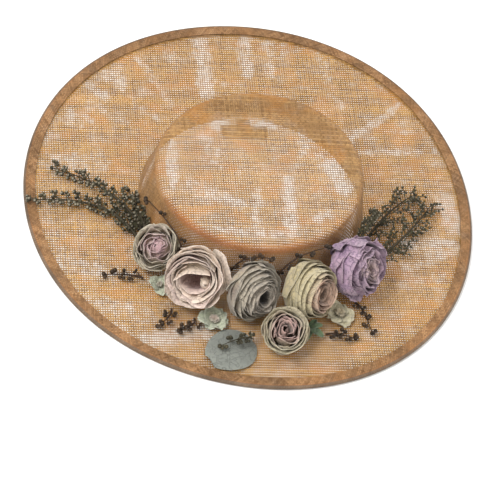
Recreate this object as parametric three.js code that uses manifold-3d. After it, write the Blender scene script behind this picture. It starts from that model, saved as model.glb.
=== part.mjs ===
// Flat brim hat in open-weave straw cloth, with cloth roses, florets, leaves and berry sprigs on its front.
// Millimetres. +Z is up, -Y is the trimmed front, and the origin lies on the surface under the brim's middle.

import * as THREE from "three";
import { mergeVertices } from "three/addons/utils/BufferGeometryUtils.js";
import Module from "manifold-3d";

const wasm = await Module();
wasm.setup();

// Cloth and clearances
const CLOTH = 1.2;
const GAP = 0.3;
const SAME_POINT = 1e-4;

// Colours, and roughness of each kind of surface
const STRAW = { colour: "#c9a06a", roughness: 0.85 };
const DARK_STRAW = { colour: "#a8814f", roughness: 0.85 };
const TAPE = { colour: "#8a6a44", roughness: 0.9 };
const PETAL_ROUGHNESS = 0.8;
const LEAF_ROUGHNESS = 0.7;
const BERRY_ROUGHNESS = 0.5;

// Brim and its folded edge strip
const BRIM_RADIUS = 193;
const BRIM_WAVES = [
  { lobes: 3, cosine: -0.7, sine: -1.3 },
  { lobes: 4, cosine: -0.6, sine: -0.8 },
];
const BRIM_BOTTOM = CLOTH + GAP;
const BRIM_TOP = BRIM_BOTTOM + CLOTH;
const BINDING_WIDTH = 10;
const BINDING_TOP = BRIM_TOP + GAP + CLOTH;
const FOLD_CHAMFER = 1;
const ROUND_STEPS = 56;

// Crown: an oval whose long direction is turned from +X, over a head opening of the same outline
const CROWN_CENTRE = { x: 0.4, y: -4.7 };
const CROWN_TURN = 34;
const CROWN_HEIGHT = 47;
const CROWN_STEPS = 48;
const BASE_OVAL = { long: 95, short: 92.5 };
const CROWN_SECTIONS = [
  { height: 0, long: 96.2, short: 93.8 },
  { height: 5, long: 94.4, short: 91.6 },
  { height: 42, long: 89, short: 83.2 },
  { height: 45.6, long: 87.4, short: 81.4 },
  { height: CROWN_HEIGHT, long: 84, short: 78 },
];
const TIP_RISE = 0.8;

// Plain tab that reaches into the head opening from the back
const TAB = { width: 40, depth: 11, neckWidth: 11, neckLength: 8, corner: 2, bearing: 107 };

// Cloth roses, for a flower of radius 1: three rings of cupped petals, one inside the other. Each profile row
// belongs to a ring, and edge is how far the ring's petals shape it. step is how far a petal's one side laps
// over the next, and scallop how far its middle stands over its corners. PETAL_CREST is the share of a petal's
// width at which it stands furthest out.
const ROSE_STEPS = 20;
const PETAL_CREST = 0.6;
const ROSE_RINGS = {
  outer: { petals: 5, step: 0.12, scallop: 0.14, turn: 0 },
  middle: { petals: 4, step: 0.1, scallop: 0.1, turn: 0.4 },
  bud: { petals: 2, step: 0.1, scallop: 0.06, turn: 0.2 },
};
const ROSE_PROFILE = [
  { ring: "outer", out: 0, up: -0.6, edge: 0 },
  { ring: "outer", out: 0.5, up: -0.52, edge: 0 },
  { ring: "outer", out: 0.86, up: -0.22, edge: 0.3 },
  { ring: "outer", out: 0.97, up: 0.1, edge: 0.8 },
  { ring: "outer", out: 1, up: 0.3, edge: 1 },
  { ring: "outer", out: 0.93, up: 0.32, edge: 1 },
  { ring: "outer", out: 0.78, up: 0, edge: 0.3 },
  { ring: "middle", out: 0.76, up: 0.28, edge: 0.6 },
  { ring: "middle", out: 0.7, up: 0.6, edge: 1 },
  { ring: "middle", out: 0.62, up: 0.62, edge: 1 },
  { ring: "middle", out: 0.47, up: 0.24, edge: 0.3 },
  { ring: "bud", out: 0.44, up: 0.56, edge: 0.5 },
  { ring: "bud", out: 0.26, up: 0.78, edge: 1 },
  { ring: "bud", out: 0.08, up: 0.52, edge: 0 },
  { ring: "bud", out: 0, up: 0.5, edge: 0 },
];
const ROSES = [
  {
    name: "rose_sage", colour: "#a3a190",
    x: -64, y: -92, radius: 18.8, depth: 1.05, tall: 1.1, lean: 32, bearing: 266, turn: 10,
  },
  {
    name: "rose_blush", colour: "#cdb9a4",
    x: -27, y: -111.4, radius: 23, depth: 1.38, tall: 1.14, lean: 62, bearing: 266, turn: 40,
  },
  {
    name: "rose_grey", colour: "#8f8b78",
    x: 19.5, y: -111.4, radius: 25, depth: 1, tall: 1.08, lean: 70, bearing: 322, turn: 75,
  },
  {
    name: "rose_cream", colour: "#c6bc95",
    x: 63.2, y: -94.4, radius: 24.8, depth: 1.1, tall: 1.07, lean: 66, bearing: 335, turn: 20,
  },
  {
    name: "rose_lilac", colour: "#a791a8",
    x: 99.4, y: -61, radius: 25.2, depth: 1.05, tall: 1.08, lean: 58, bearing: 338, turn: 60,
  },
  {
    name: "rose_mauve", colour: "#a8a08d",
    x: 54.5, y: -136, radius: 19, depth: 1.05, tall: 1.05, lean: 26, bearing: 279, turn: 30,
  },
];

// Open florets and leaves
const FLORETS = [
  { name: "floret_left", colour: "#b9c3a4", x: -56.5, y: -117.5, radius: 10, petals: 3, bearing: 200 },
  { name: "floret_mint", colour: "#c0c7ad", x: -3, y: -136, radius: 12, petals: 5, bearing: 20 },
  { name: "floret_right", colour: "#cfcab0", x: 96.5, y: -97.5, radius: 11.5, petals: 4, bearing: 310 },
];
const FLORET_STEPS = 4;
const FLORET_NOTCH = 0.4;
const FLORET_PROFILE = [
  { out: 0, up: 0, edge: 0 },
  { out: 0.35, up: 0.02, edge: 0 },
  { out: 1, up: 0.34, edge: 1 },
  { out: 0.97, up: 0.48, edge: 1 },
  { out: 0.4, up: 0.22, edge: 0 },
  { out: 0.26, up: 0.4, edge: 0 },
  { out: 0, up: 0.46, edge: 0 },
];
const LEAVES = [
  { name: "leaf_round", colour: "#8f9488", x: 17, y: -159, length: 36, width: 32, petals: 1, bearing: 235 },
  { name: "leaf_pair", colour: "#6f8263", x: 74, y: -117, length: 14, width: 7, petals: 2, bearing: 300 },
];
const LEAF_SPREAD = 64;
// Rise of a blade's middle for its length, fall of its sides for its width, the share of its half-wave outline
// that is cut off at each end, and the least value that outline takes
const BLADE = { arch: 0.1, droop: 0.08, cut: 0.06, blunt: 0.02 };

// Sprigs: a stem through three plan points, and berries on side twigs in turn left and right.
// lift is the stem's height over the brim at root, middle and tip; reach is the twigs' length at root and tip.
const STEM_RADIUS = 0.8;
const TWIG_RADIUS = 0.45;
const STEM_STEPS = 5;
const STEM_SIDES = 3;
const BERRY_SIDES = 5;
const BERRY_LEAN = 52;
const FIRST_BERRY = 0.2;
const LAST_BERRY = 0.97;
// Berry of radius 1: its widest band, and how far up and down that band goes
const BERRY_BAND = { out: 0.9, up: 0.45 };
// Every third twig is shorter by this share, and the last one is this many berry radii long
const SHORT_TWIG = 0.75;
const LAST_TWIG = 1.6;
// Every fourth berry stands up by one berry radius, and the others hang down by this share of it
const BERRY_HANG = 0.4;
const SPRIGS = [
  {
    name: "sprig_left_upper", colour: "#3f4030", berry: 2, berries: 14, reach: [9, 4],
    root: [-78, -71], middle: [-112, -42], tip: [-167, -28], lift: [2.4, 6, 2.4],
  },
  {
    name: "sprig_left_lower", colour: "#4a4a36", berry: 2, berries: 14, reach: [9, 4],
    root: [-82, -76], middle: [-122, -55], tip: [-177, -70], lift: [2.4, 3, 5.4],
  },
  {
    name: "sprig_left_short", colour: "#45432f", berry: 2, berries: 8, reach: [5, 5],
    root: [-77, -70], middle: [-87, -56], tip: [-101, -30], lift: [9, 11, 2.4],
  },
  {
    name: "sprig_right_upper", colour: "#4b4f3b", berry: 1.9, berries: 11, reach: [8, 4],
    root: [97, -33], middle: [112, 14], tip: [131, 48], lift: [2.4, 3.5, 2.4],
  },
  {
    name: "sprig_right_lower", colour: "#565a43", berry: 1.9, berries: 11, reach: [9, 4],
    root: [112, -34], middle: [134, 4], tip: [149, 43], lift: [2.4, 3.5, 2.4],
  },
  {
    name: "sprig_right_crown", colour: "#33301f", berry: 2, berries: 7, reach: [4, 4],
    root: [93, -40], middle: [98, -16], tip: [105, 8], lift: [0.6, 22, 14],
  },
  {
    name: "spray_thin_left", colour: "#5a4a33", berry: 1.9, berries: 5, reach: [3, 3],
    root: [-43.5, -94], middle: [-48, -90.5], tip: [-83, -56], lift: [0.5, 34, 31],
  },
  {
    name: "spray_brown_left", colour: "#4c3a2a", berry: 2.2, berries: 6, reach: [6, 4],
    root: [-68, -113.5], middle: [-81, -115], tip: [-98, -120], lift: [2.4, 3, 2.4],
  },
  {
    name: "spray_brown_front", colour: "#4f3c2b", berry: 2.2, berries: 6, reach: [5, 4],
    root: [-39, -136], middle: [-39, -144], tip: [-45, -155], lift: [2.4, 3, 2.4],
  },
  {
    name: "spray_brown_middle", colour: "#463629", berry: 2.2, berries: 6, reach: [5, 4],
    root: [-19, -139], middle: [-19, -146], tip: [-27, -154], lift: [2.4, 3, 2.4],
  },
  {
    name: "spray_crown_front", colour: "#3c2c20", berry: 1.9, berries: 5, reach: [4, 3],
    root: [-3, -102], middle: [4, -98], tip: [28, -92], lift: [0.5, 37, 45],
  },
  {
    name: "spray_crown_right", colour: "#3f3024", berry: 1.9, berries: 4, reach: [4, 3],
    root: [38, -94], middle: [42, -89.5], tip: [71, -66], lift: [0.5, 39, 47],
  },
  {
    name: "spray_brown_right", colour: "#4a3828", berry: 2.2, berries: 6, reach: [6, 4],
    root: [105, -80], middle: [113, -86], tip: [124, -104], lift: [2.4, 3, 2.4],
  },
  {
    name: "spray_brown_bottom", colour: "#4d3b2a", berry: 2.2, berries: 5, reach: [4, 4],
    root: [88, -119], middle: [97, -116], tip: [111, -115], lift: [2.4, 3, 2.4],
  },
  {
    name: "spray_leaf_berries", colour: "#39402c", berry: 2.1, berries: 5, reach: [5, 4],
    root: [32, -149], middle: [23, -151], tip: [8, -163], lift: [9.9, 10.7, 9.3],
  },
];

const UP = new THREE.Vector3(0, 0, 1);
const LATHE_AXIS = new THREE.Vector3(0, 1, 0);

function radians(degrees) {
  return THREE.MathUtils.degToRad(degrees);
}

// Closed surface as a solid: corners that meet are made one, and faces that have shrunk to a line are dropped
function solidFrom(geometry) {
  const bare = geometry.clone();
  bare.deleteAttribute("normal");
  bare.deleteAttribute("uv");
  const merged = mergeVertices(bare, SAME_POINT);
  const corners = [];
  for (let i = 0; i < merged.index.count; i += 3) {
    const [a, b, c] = [0, 1, 2].map((k) => merged.index.getX(i + k));
    if (a !== b && b !== c && c !== a) corners.push(a, b, c);
  }
  return new wasm.Manifold(
    new wasm.Mesh({
      numProp: 3,
      vertProperties: new Float32Array(merged.attributes.position.array),
      triVerts: new Uint32Array(corners),
    }),
  );
}

function geometryFrom(solid) {
  const made = solid.getMesh();
  const geometry = new THREE.BufferGeometry();
  geometry.setAttribute("position", new THREE.BufferAttribute(new Float32Array(made.vertProperties), 3));
  geometry.setIndex(new THREE.BufferAttribute(new Uint32Array(made.triVerts), 1));
  const faceted = geometry.toNonIndexed();
  faceted.computeVertexNormals();
  return faceted;
}

function joined(geometries) {
  return geometries.map(solidFrom).reduce((whole, piece) => whole.add(piece));
}

function meshFrom(name, solid, { colour, roughness }) {
  const material = new THREE.MeshStandardMaterial({ color: colour, roughness, metalness: 0 });
  const mesh = new THREE.Mesh(geometryFrom(solid), material);
  mesh.name = name;
  return mesh;
}

function brimRadiusAt(angle) {
  const addWave = (sum, { lobes, cosine, sine }) =>
    sum + cosine * Math.cos(lobes * angle) + sine * Math.sin(lobes * angle);
  return BRIM_WAVES.reduce(addWave, BRIM_RADIUS);
}

// Point of the brim's outline, moved inwards by inset
function brimPoint(angle, inset) {
  const radius = brimRadiusAt(angle) - inset;
  return { x: radius * Math.cos(angle), y: radius * Math.sin(angle) };
}

// Point of an oval that has the crown's centre and turn
function ovalPoint(angle, long, short) {
  const turn = radians(CROWN_TURN);
  const along = long * Math.cos(angle - turn);
  const across = short * Math.sin(angle - turn);
  return {
    x: CROWN_CENTRE.x + along * Math.cos(turn) - across * Math.sin(turn),
    y: CROWN_CENTRE.y + along * Math.sin(turn) + across * Math.cos(turn),
  };
}

// Lathe whose rows each hold functions for their height and their plan point at an angle
function latheThrough(rows, steps) {
  const profile = rows.map((row, i) => new THREE.Vector2(rows.length, i));
  const geometry = new THREE.LatheGeometry(profile, steps);
  const place = geometry.attributes.position;
  for (let i = 0; i < place.count; i += 1) {
    const row = rows[i % rows.length];
    const angle = (Math.floor(i / rows.length) % steps) * ((2 * Math.PI) / steps);
    const { x, y } = row.at(angle);
    place.setXYZ(i, x, y, row.heightAt(angle));
  }
  return geometry;
}

// Ring with a closed section, whose rows each hold one height
function closedRing(rows, steps) {
  const level = rows.map(({ height, at }) => ({ heightAt: () => height, at }));
  return latheThrough([...level, level[0]], steps);
}

function makeBrim() {
  const hole = (angle) => ovalPoint(angle, BASE_OVAL.long - CLOTH, BASE_OVAL.short - CLOTH);
  const edge = (angle) => brimPoint(angle, CLOTH + GAP);
  const rows = [
    { height: BRIM_BOTTOM, at: hole },
    { height: BRIM_BOTTOM, at: edge },
    { height: BRIM_TOP, at: edge },
    { height: BRIM_TOP, at: hole },
  ];
  return meshFrom("brim", solidFrom(closedRing(rows, ROUND_STEPS)), STRAW);
}

function makeBinding() {
  const section = [
    { height: 0, inset: BINDING_WIDTH },
    { height: 0, inset: FOLD_CHAMFER },
    { height: FOLD_CHAMFER, inset: 0 },
    { height: BINDING_TOP - FOLD_CHAMFER, inset: 0 },
    { height: BINDING_TOP, inset: FOLD_CHAMFER },
    { height: BINDING_TOP, inset: BINDING_WIDTH },
    { height: BINDING_TOP - CLOTH, inset: BINDING_WIDTH },
    { height: BINDING_TOP - CLOTH, inset: CLOTH },
    { height: CLOTH, inset: CLOTH },
    { height: CLOTH, inset: BINDING_WIDTH },
  ];
  const rows = section.map(({ height, inset }) => ({ height, at: (angle) => brimPoint(angle, inset) }));
  return meshFrom("brim_binding", solidFrom(closedRing(rows, ROUND_STEPS)), DARK_STRAW);
}

function makeCrown() {
  const foot = BRIM_TOP + GAP;
  const tipTop = foot + CROWN_HEIGHT + TIP_RISE;
  const centre = () => ({ ...CROWN_CENTRE });
  const rowAt = ({ height, long, short }, inset, drop) => ({
    height: Math.max(foot, foot + height - drop),
    at: (angle) => ovalPoint(angle, long - inset, short - inset),
  });
  const outside = CROWN_SECTIONS.map((section) => rowAt(section, 0, 0));
  const inside = CROWN_SECTIONS.map((section) => rowAt(section, CLOTH, section.height > 0 ? CLOTH : 0));
  const tip = [tipTop, tipTop - CLOTH].map((height) => ({ height, at: centre }));
  const rows = [...outside, ...tip, ...inside.reverse()];
  return meshFrom("crown", solidFrom(closedRing(rows, CROWN_STEPS)), STRAW);
}

// T-shaped plate whose neck ends at the head opening's edge
function makeTab() {
  const { width, depth, neckWidth, neckLength, corner, bearing } = TAB;
  const outline = new THREE.Shape();
  outline.moveTo(-neckWidth / 2, 0);
  outline.lineTo(-neckWidth / 2, -neckLength);
  outline.lineTo(-width / 2, -neckLength);
  outline.lineTo(-width / 2, -neckLength - depth + corner);
  outline.lineTo(-width / 2 + corner, -neckLength - depth);
  outline.lineTo(width / 2 - corner, -neckLength - depth);
  outline.lineTo(width / 2, -neckLength - depth + corner);
  outline.lineTo(width / 2, -neckLength);
  outline.lineTo(neckWidth / 2, -neckLength);
  outline.lineTo(neckWidth / 2, 0);
  const plate = new THREE.ExtrudeGeometry(outline, { depth: CLOTH, bevelEnabled: false, steps: 1 });
  const mesh = meshFrom("head_tab", solidFrom(plate), TAPE);
  const angle = radians(bearing);
  const inset = CLOTH + 2 * GAP;
  const { x, y } = ovalPoint(angle, BASE_OVAL.long - inset, BASE_OVAL.short - inset);
  mesh.position.set(x, y, BRIM_BOTTOM);
  mesh.rotation.z = angle - Math.PI / 2;
  return mesh;
}

// Share of a petal that an angle has passed, from 0 at its one corner to 1 at the other
function petalShare(angle, petals, turn) {
  const passed = (angle * petals) / (2 * Math.PI) + turn;
  return passed - Math.floor(passed + SAME_POINT);
}

// Rose that leans from upright towards its bearing and stands on the brim. depth stretches it along its own axis,
// and tall stretches the leaning flower upwards.
function makeRose({ name, colour, x, y, radius, depth, tall, lean, bearing, turn }) {
  const rows = ROSE_PROFILE.map(({ ring, out, up, edge }) => {
    const petals = ROSE_RINGS[ring];
    const share = (angle) => petalShare(angle, petals.petals, petals.turn);
    return {
      heightAt: (angle) => radius * depth * (up + edge * petals.scallop * Math.sin(Math.PI * share(angle))),
      at: (angle) => {
        const reach = radius * (out - edge * petals.step * Math.abs(share(angle) - PETAL_CREST));
        return { x: reach * Math.cos(angle), y: reach * Math.sin(angle) };
      },
    };
  });
  const towards = radians(bearing);
  const axis = new THREE.Vector3(-Math.sin(towards), Math.cos(towards), 0);
  const flower = latheThrough(rows, ROSE_STEPS);
  flower.rotateZ(radians(turn));
  flower.applyMatrix4(new THREE.Matrix4().makeRotationAxis(axis, radians(lean)));
  flower.scale(1, 1, tall);
  const solid = solidFrom(flower);
  const mesh = meshFrom(name, solid, { colour, roughness: PETAL_ROUGHNESS });
  mesh.position.set(x, y, BRIM_TOP + GAP - solid.boundingBox().min[2]);
  return mesh;
}

// Leaf blade from its stalk end at the origin along +X, arched along and across
function bladePatch(length, width) {
  const { arch, droop, cut, blunt } = BLADE;
  const blade = new THREE.BoxGeometry(1, 1, 1, 4, 2, 1);
  const place = blade.attributes.position;
  for (let i = 0; i < place.count; i += 1) {
    const along = place.getX(i) + 0.5;
    const side = 2 * place.getY(i);
    const wave = Math.sin(Math.PI * THREE.MathUtils.lerp(cut, 1 - cut, along));
    const half = (width / 2) * Math.sqrt(Math.max(blunt, wave));
    const rise = arch * length * Math.sin(Math.PI * along) - droop * width * side * side;
    place.setXYZ(i, along * length, side * half, rise + CLOTH * place.getZ(i));
  }
  return blade;
}

function makeLeaves({ name, colour, x, y, length, width, petals, bearing }) {
  const blades = Array.from({ length: petals }, (_, i) => {
    const turn = bearing + LEAF_SPREAD * (i - (petals - 1) / 2);
    const blade = bladePatch(length, width);
    blade.translate(petals > 1 ? -CLOTH : -length / 2, 0, 0);
    return blade.rotateZ(radians(turn));
  });
  const solid = joined(blades);
  const mesh = meshFrom(name, solid, { colour, roughness: LEAF_ROUGHNESS });
  mesh.position.set(x, y, BRIM_TOP + GAP - solid.boundingBox().min[2]);
  return mesh;
}

// Open floret: one dish whose edge is notched into round petals, with a small raised middle
function makeFloret({ name, colour, x, y, radius, petals, bearing }) {
  const rows = FLORET_PROFILE.map(({ out, up, edge }) => ({
    heightAt: () => radius * up,
    at: (angle) => {
      const lobe = Math.sqrt(Math.sin(Math.PI * petalShare(angle, petals, 0)));
      const reach = radius * out * (1 - edge * FLORET_NOTCH * (1 - lobe));
      return { x: reach * Math.cos(angle), y: reach * Math.sin(angle) };
    },
  }));
  const flower = latheThrough(rows, FLORET_STEPS * petals);
  const solid = solidFrom(flower.rotateZ(radians(bearing)));
  const mesh = meshFrom(name, solid, { colour, roughness: PETAL_ROUGHNESS });
  mesh.position.set(x, y, BRIM_TOP + GAP - solid.boundingBox().min[2]);
  return mesh;
}

// Berry whose middle lies at end, on a twig that widens from a point on the stem's axis
function berryTwig(start, end, berry) {
  const way = new THREE.Vector3().subVectors(end, start);
  const length = way.length();
  const { out: wide, up: half } = BERRY_BAND;
  const profile = [
    [0, 0],
    [TWIG_RADIUS, length - wide * berry],
    [wide * berry, length - half * berry],
    [wide * berry, length + half * berry],
    [0, length + berry],
  ];
  const points = profile.map(([out, up]) => new THREE.Vector2(out, up));
  const twig = new THREE.LatheGeometry(points, BERRY_SIDES);
  twig.applyQuaternion(new THREE.Quaternion().setFromUnitVectors(LATHE_AXIS, way.normalize()));
  return twig.translate(start.x, start.y, start.z);
}

// Place and direction at a share of the way along a row of points
function alongPoints(points, share) {
  const way = share * (points.length - 1);
  const first = Math.min(Math.floor(way), points.length - 2);
  const place = points[first].clone().lerp(points[first + 1], way - first);
  const heading = points[first + 1].clone().sub(points[first]).setZ(0).normalize();
  return { place, heading };
}

function makeSprig({ name, colour, berry, berries, reach, root, middle, tip, lift }) {
  const base = BRIM_TOP + GAP;
  const plan = [root, middle, tip];
  const path = new THREE.CatmullRomCurve3(plan.map(([x, y], i) => new THREE.Vector3(x, y, base + lift[i])));
  const corners = Array.from({ length: STEM_SIDES }, (_, i) => {
    const angle = (2 * Math.PI * i) / STEM_SIDES;
    return new THREE.Vector2(STEM_RADIUS * Math.cos(angle), STEM_RADIUS * Math.sin(angle));
  });
  const stem = new THREE.ExtrudeGeometry(new THREE.Shape(corners), { steps: STEM_STEPS, extrudePath: path });
  const bends = path.getSpacedPoints(STEM_STEPS);
  const twigs = Array.from({ length: berries }, (_, i) => {
    const share = THREE.MathUtils.lerp(FIRST_BERRY, LAST_BERRY, i / (berries - 1));
    const { place, heading } = alongPoints(bends, share);
    const onTip = i === berries - 1;
    const lean = onTip ? 0 : BERRY_LEAN * (i % 2 ? 1 : -1);
    const twig = THREE.MathUtils.lerp(reach[0], reach[1], share) * (i % 3 ? 1 : SHORT_TWIG);
    const length = onTip ? LAST_TWIG * berry : twig;
    const end = place.clone().addScaledVector(heading.applyAxisAngle(UP, radians(lean)), length);
    end.z = Math.max(base + berry, end.z + berry * (i % 4 === 1 ? 1 : -BERRY_HANG));
    return berryTwig(place, end, berry);
  });
  return meshFrom(name, joined([stem, ...twigs]), { colour, roughness: BERRY_ROUGHNESS });
}

// The outline's box is centred on the origin
function outlineMiddle() {
  const points = Array.from({ length: ROUND_STEPS }, (_, i) => brimPoint((2 * Math.PI * i) / ROUND_STEPS, 0));
  const box = new THREE.Box2().setFromPoints(points.map(({ x, y }) => new THREE.Vector2(x, y)));
  return box.getCenter(new THREE.Vector2());
}

const hat = new THREE.Group();
const pieces = new THREE.Group();
pieces.add(makeBrim(), makeBinding(), makeCrown(), makeTab());
pieces.add(...ROSES.map(makeRose));
pieces.add(...FLORETS.map(makeFloret));
pieces.add(...LEAVES.map(makeLeaves));
pieces.add(...SPRIGS.map(makeSprig));
const middle = outlineMiddle();
pieces.position.set(-middle.x, -middle.y, 0);
hat.add(pieces);

export default hat;
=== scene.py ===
# Flat brim hat of open-weave straw, with cloth roses, florets, leaves and berry sprigs on its front.
# Lengths in the dictionaries are millimetres. Places are taken from the middle of the brim's outline, and
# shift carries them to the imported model's frame. The pale patches are in that frame already.
import math

import bpy
import numpy as np
from mathutils import Matrix, Vector, noise


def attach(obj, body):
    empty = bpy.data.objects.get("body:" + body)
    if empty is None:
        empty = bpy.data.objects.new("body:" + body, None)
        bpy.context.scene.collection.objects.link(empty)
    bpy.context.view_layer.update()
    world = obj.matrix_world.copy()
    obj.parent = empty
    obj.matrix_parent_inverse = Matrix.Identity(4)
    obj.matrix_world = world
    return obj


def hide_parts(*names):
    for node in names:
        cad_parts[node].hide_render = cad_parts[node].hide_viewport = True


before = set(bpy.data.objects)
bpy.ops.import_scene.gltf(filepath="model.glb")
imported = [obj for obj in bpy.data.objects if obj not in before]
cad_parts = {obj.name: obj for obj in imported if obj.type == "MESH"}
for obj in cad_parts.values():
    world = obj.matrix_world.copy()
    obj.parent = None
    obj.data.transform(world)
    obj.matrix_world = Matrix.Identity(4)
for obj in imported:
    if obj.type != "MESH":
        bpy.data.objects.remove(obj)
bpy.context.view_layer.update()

mm = 0.001
uvUnit = 100  # millimetres to one unit of a straw piece's UV map
seat = 3.0  # lowest height of what lies on the brim
shift = Vector((0.7, -1.3))  # from the outline's own middle to the frame's origin
noise.seed_set(1)  # or the petals would crumple differently each run


def deselect():
    if bpy.context.object and bpy.context.object.mode != "OBJECT":
        bpy.ops.object.mode_set(mode="OBJECT")
    bpy.ops.object.select_all(action="DESELECT")


def activate(piece):
    deselect()
    piece.select_set(True)
    bpy.context.view_layer.objects.active = piece


def applyModifier(piece, kind, **settings):
    activate(piece)
    modifier = piece.modifiers.new(kind.title(), kind)
    for name, value in settings.items():
        setattr(modifier, name, value)
    bpy.ops.object.modifier_apply(modifier=modifier.name)


def pointsOf(mesh):
    points = np.zeros(len(mesh.vertices) * 3)
    mesh.vertices.foreach_get("co", points)
    return points.reshape(-1, 3)


def placePoints(mesh, points):
    mesh.vertices.foreach_set("co", np.asarray(points, float).ravel())
    mesh.update()


def markPoints(mesh, name, values):
    # values has three columns, one for each colour channel
    marks = mesh.attributes.new(name, "FLOAT_COLOR", "POINT")
    full = np.ones((len(mesh.vertices), 4), np.float32)
    full[:, :3] = values
    marks.data.foreach_set("color", full.ravel())


def smoothstep(low, high, value):
    t = np.clip((value - low) / (high - low), 0, 1)
    return t * t * (3 - 2 * t)


def shareOf(value, start, length):
    # How far value is along the length from start, between 0 and 1
    return np.clip((value - start) / length, 0, 1)


def finishPiece(piece, material, nodes, angle=50):
    piece.data.materials.clear()
    piece.data.materials.append(material)
    activate(piece)
    bpy.ops.object.shade_smooth_by_angle(angle=math.radians(angle))
    deselect()
    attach(piece, "root")
    if nodes:
        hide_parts(*nodes)
    return piece


# Camera, light and floor
studio = {
    "elevation": 51.05, "distance": 2200, "roll": 15.52,
    "focal": 2598.8,  # in pixels of the 500-pixel frame
    "aim": (251.28, 200.3),  # pixel of the point under the brim's middle
    "sensor": 36, "frame": 500, "floorGap": 0.4,
    "near": 0.1, "far": 20, "floor": 6,  # these and the lamps are in metres
    "paper": (0.93, 0.925, 0.91, 1), "sky": (1, 0.99, 0.975, 1), "skyStrength": 0.75,
}
lamps = {
    "key": {"place": (-0.75, -0.55, 1.5), "size": 0.7, "power": 26},
    "fill": {"place": (1.1, -0.9, 1.1), "size": 1.4, "power": 7},
    "rim": {"place": (0.2, 1.3, 1.2), "size": 1.2, "power": 9},
}


def makeStudio():
    elevation, roll = math.radians(studio["elevation"]), math.radians(studio["roll"])
    back = Vector((0, -math.cos(elevation), math.sin(elevation)))
    right = Vector((1, 0, 0))
    up = back.cross(right)
    axisX = right * math.cos(roll) + up * math.sin(roll)
    axisY = up * math.cos(roll) - right * math.sin(roll)
    basis = Matrix((axisX, axisY, back)).transposed()
    half = studio["frame"] / 2
    aimX, aimY = studio["aim"]
    way = Vector(((aimX - half) / studio["focal"], (half - aimY) / studio["focal"], -1))
    swing = Vector((0, 0, -1)).rotation_difference(way.normalized()).to_matrix()
    place = Vector((shift.x, shift.y, 0)) + back * studio["distance"]
    bpy.ops.object.camera_add(location=place * mm)
    camera = bpy.context.object
    camera.rotation_euler = (basis @ swing.transposed()).to_euler()
    camera.data.sensor_width = studio["sensor"]
    camera.data.lens = studio["focal"] / studio["frame"] * studio["sensor"]
    camera.data.clip_start, camera.data.clip_end = studio["near"], studio["far"]
    bpy.context.scene.camera = camera

    for name, lamp in lamps.items():
        bpy.ops.object.light_add(type="AREA", radius=1, location=lamp["place"])
        light = bpy.context.object
        light.name = name
        light.data.size = lamp["size"]
        light.data.energy = lamp["power"]
        light.rotation_euler = (-Vector(lamp["place"])).to_track_quat("-Z", "Y").to_euler()

    world = bpy.data.worlds.new("studio")
    bpy.context.scene.world = world
    world.use_nodes = True
    sky = world.node_tree.nodes["Background"]
    sky.inputs["Color"].default_value = studio["sky"]
    sky.inputs["Strength"].default_value = studio["skyStrength"]

    bpy.ops.mesh.primitive_plane_add(size=studio["floor"], location=(0, 0, 0))
    floor = bpy.context.object
    floor.name = "floor"
    floor.data.transform(Matrix.Translation((0, 0, -studio["floorGap"] * mm)))
    paper = bpy.data.materials.new("palePaper")
    paper.use_nodes = True
    shader = paper.node_tree.nodes["Principled BSDF"]
    shader.inputs["Base Color"].default_value = studio["paper"]
    shader.inputs["Roughness"].default_value = 0.9
    floor.data.materials.append(paper)
    bpy.context.scene.view_settings.view_transform = "Standard"


makeStudio()
print("studio ready")


# Node groups
class Graph:
    # Short way to place and join nodes in a tree
    def __init__(self, tree):
        self.tree = tree
        self.column = 0

    def add(self, kind, **settings):
        node = self.tree.nodes.new(kind)
        node.location = (self.column * 40, -(self.column % 5) * 160)
        self.column += 1
        for name, value in settings.items():
            setattr(node, name, value)
        return node

    def put(self, socket, value):
        if isinstance(value, bpy.types.NodeSocket):
            self.tree.links.new(value, socket)
        else:
            socket.default_value = value

    def math(self, operation, *values, clamp=False):
        node = self.add("ShaderNodeMath", operation=operation, use_clamp=clamp)
        for socket, value in zip(node.inputs, values):
            self.put(socket, value)
        return node.outputs[0]

    def range(self, value, low, high, start=0.0, end=1.0, smooth=True):
        node = self.add("ShaderNodeMapRange", interpolation_type="SMOOTHSTEP" if smooth else "LINEAR")
        names = ("Value", "From Min", "From Max", "To Min", "To Max")
        for name, given in zip(names, (value, low, high, start, end)):
            self.put(node.inputs[name], given)
        return node.outputs["Result"]

    def mix(self, share, first, second, blend="MIX"):
        node = self.add("ShaderNodeMix", data_type="RGBA", blend_type=blend)
        self.put(node.inputs["Factor"], share)
        self.put(node.inputs[6], first)
        self.put(node.inputs[7], second)
        return node.outputs[2]

    def noise(self, vector, scale, detail=2.0, rough=0.5, dims="3D"):
        node = self.add("ShaderNodeTexNoise", noise_dimensions=dims)
        self.put(node.inputs["Vector"], vector)
        self.put(node.inputs["Scale"], scale)
        self.put(node.inputs["Detail"], detail)
        self.put(node.inputs["Roughness"], rough)
        return node.outputs["Fac"]

    def mapped(self, vector, scale=(1, 1, 1), turn=0.0, move=(0, 0, 0)):
        node = self.add("ShaderNodeMapping")
        self.put(node.inputs["Vector"], vector)
        node.inputs["Location"].default_value = move
        node.inputs["Rotation"].default_value = (0, 0, turn)
        node.inputs["Scale"].default_value = scale
        return node.outputs["Vector"]

    def grey(self, value):
        node = self.add("ShaderNodeCombineColor")
        for socket in node.inputs:
            self.put(socket, value)
        return node.outputs[0]

    def parts(self, vector):
        node = self.add("ShaderNodeSeparateXYZ")
        self.put(node.inputs[0], vector)
        return node.outputs[0], node.outputs[1], node.outputs[2]

    def marks(self, name):
        attribute = self.add("ShaderNodeAttribute", attribute_name=name)
        node = self.add("ShaderNodeSeparateColor")
        self.put(node.inputs[0], attribute.outputs["Color"])
        return node.outputs[0], node.outputs[1], node.outputs[2]


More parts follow.
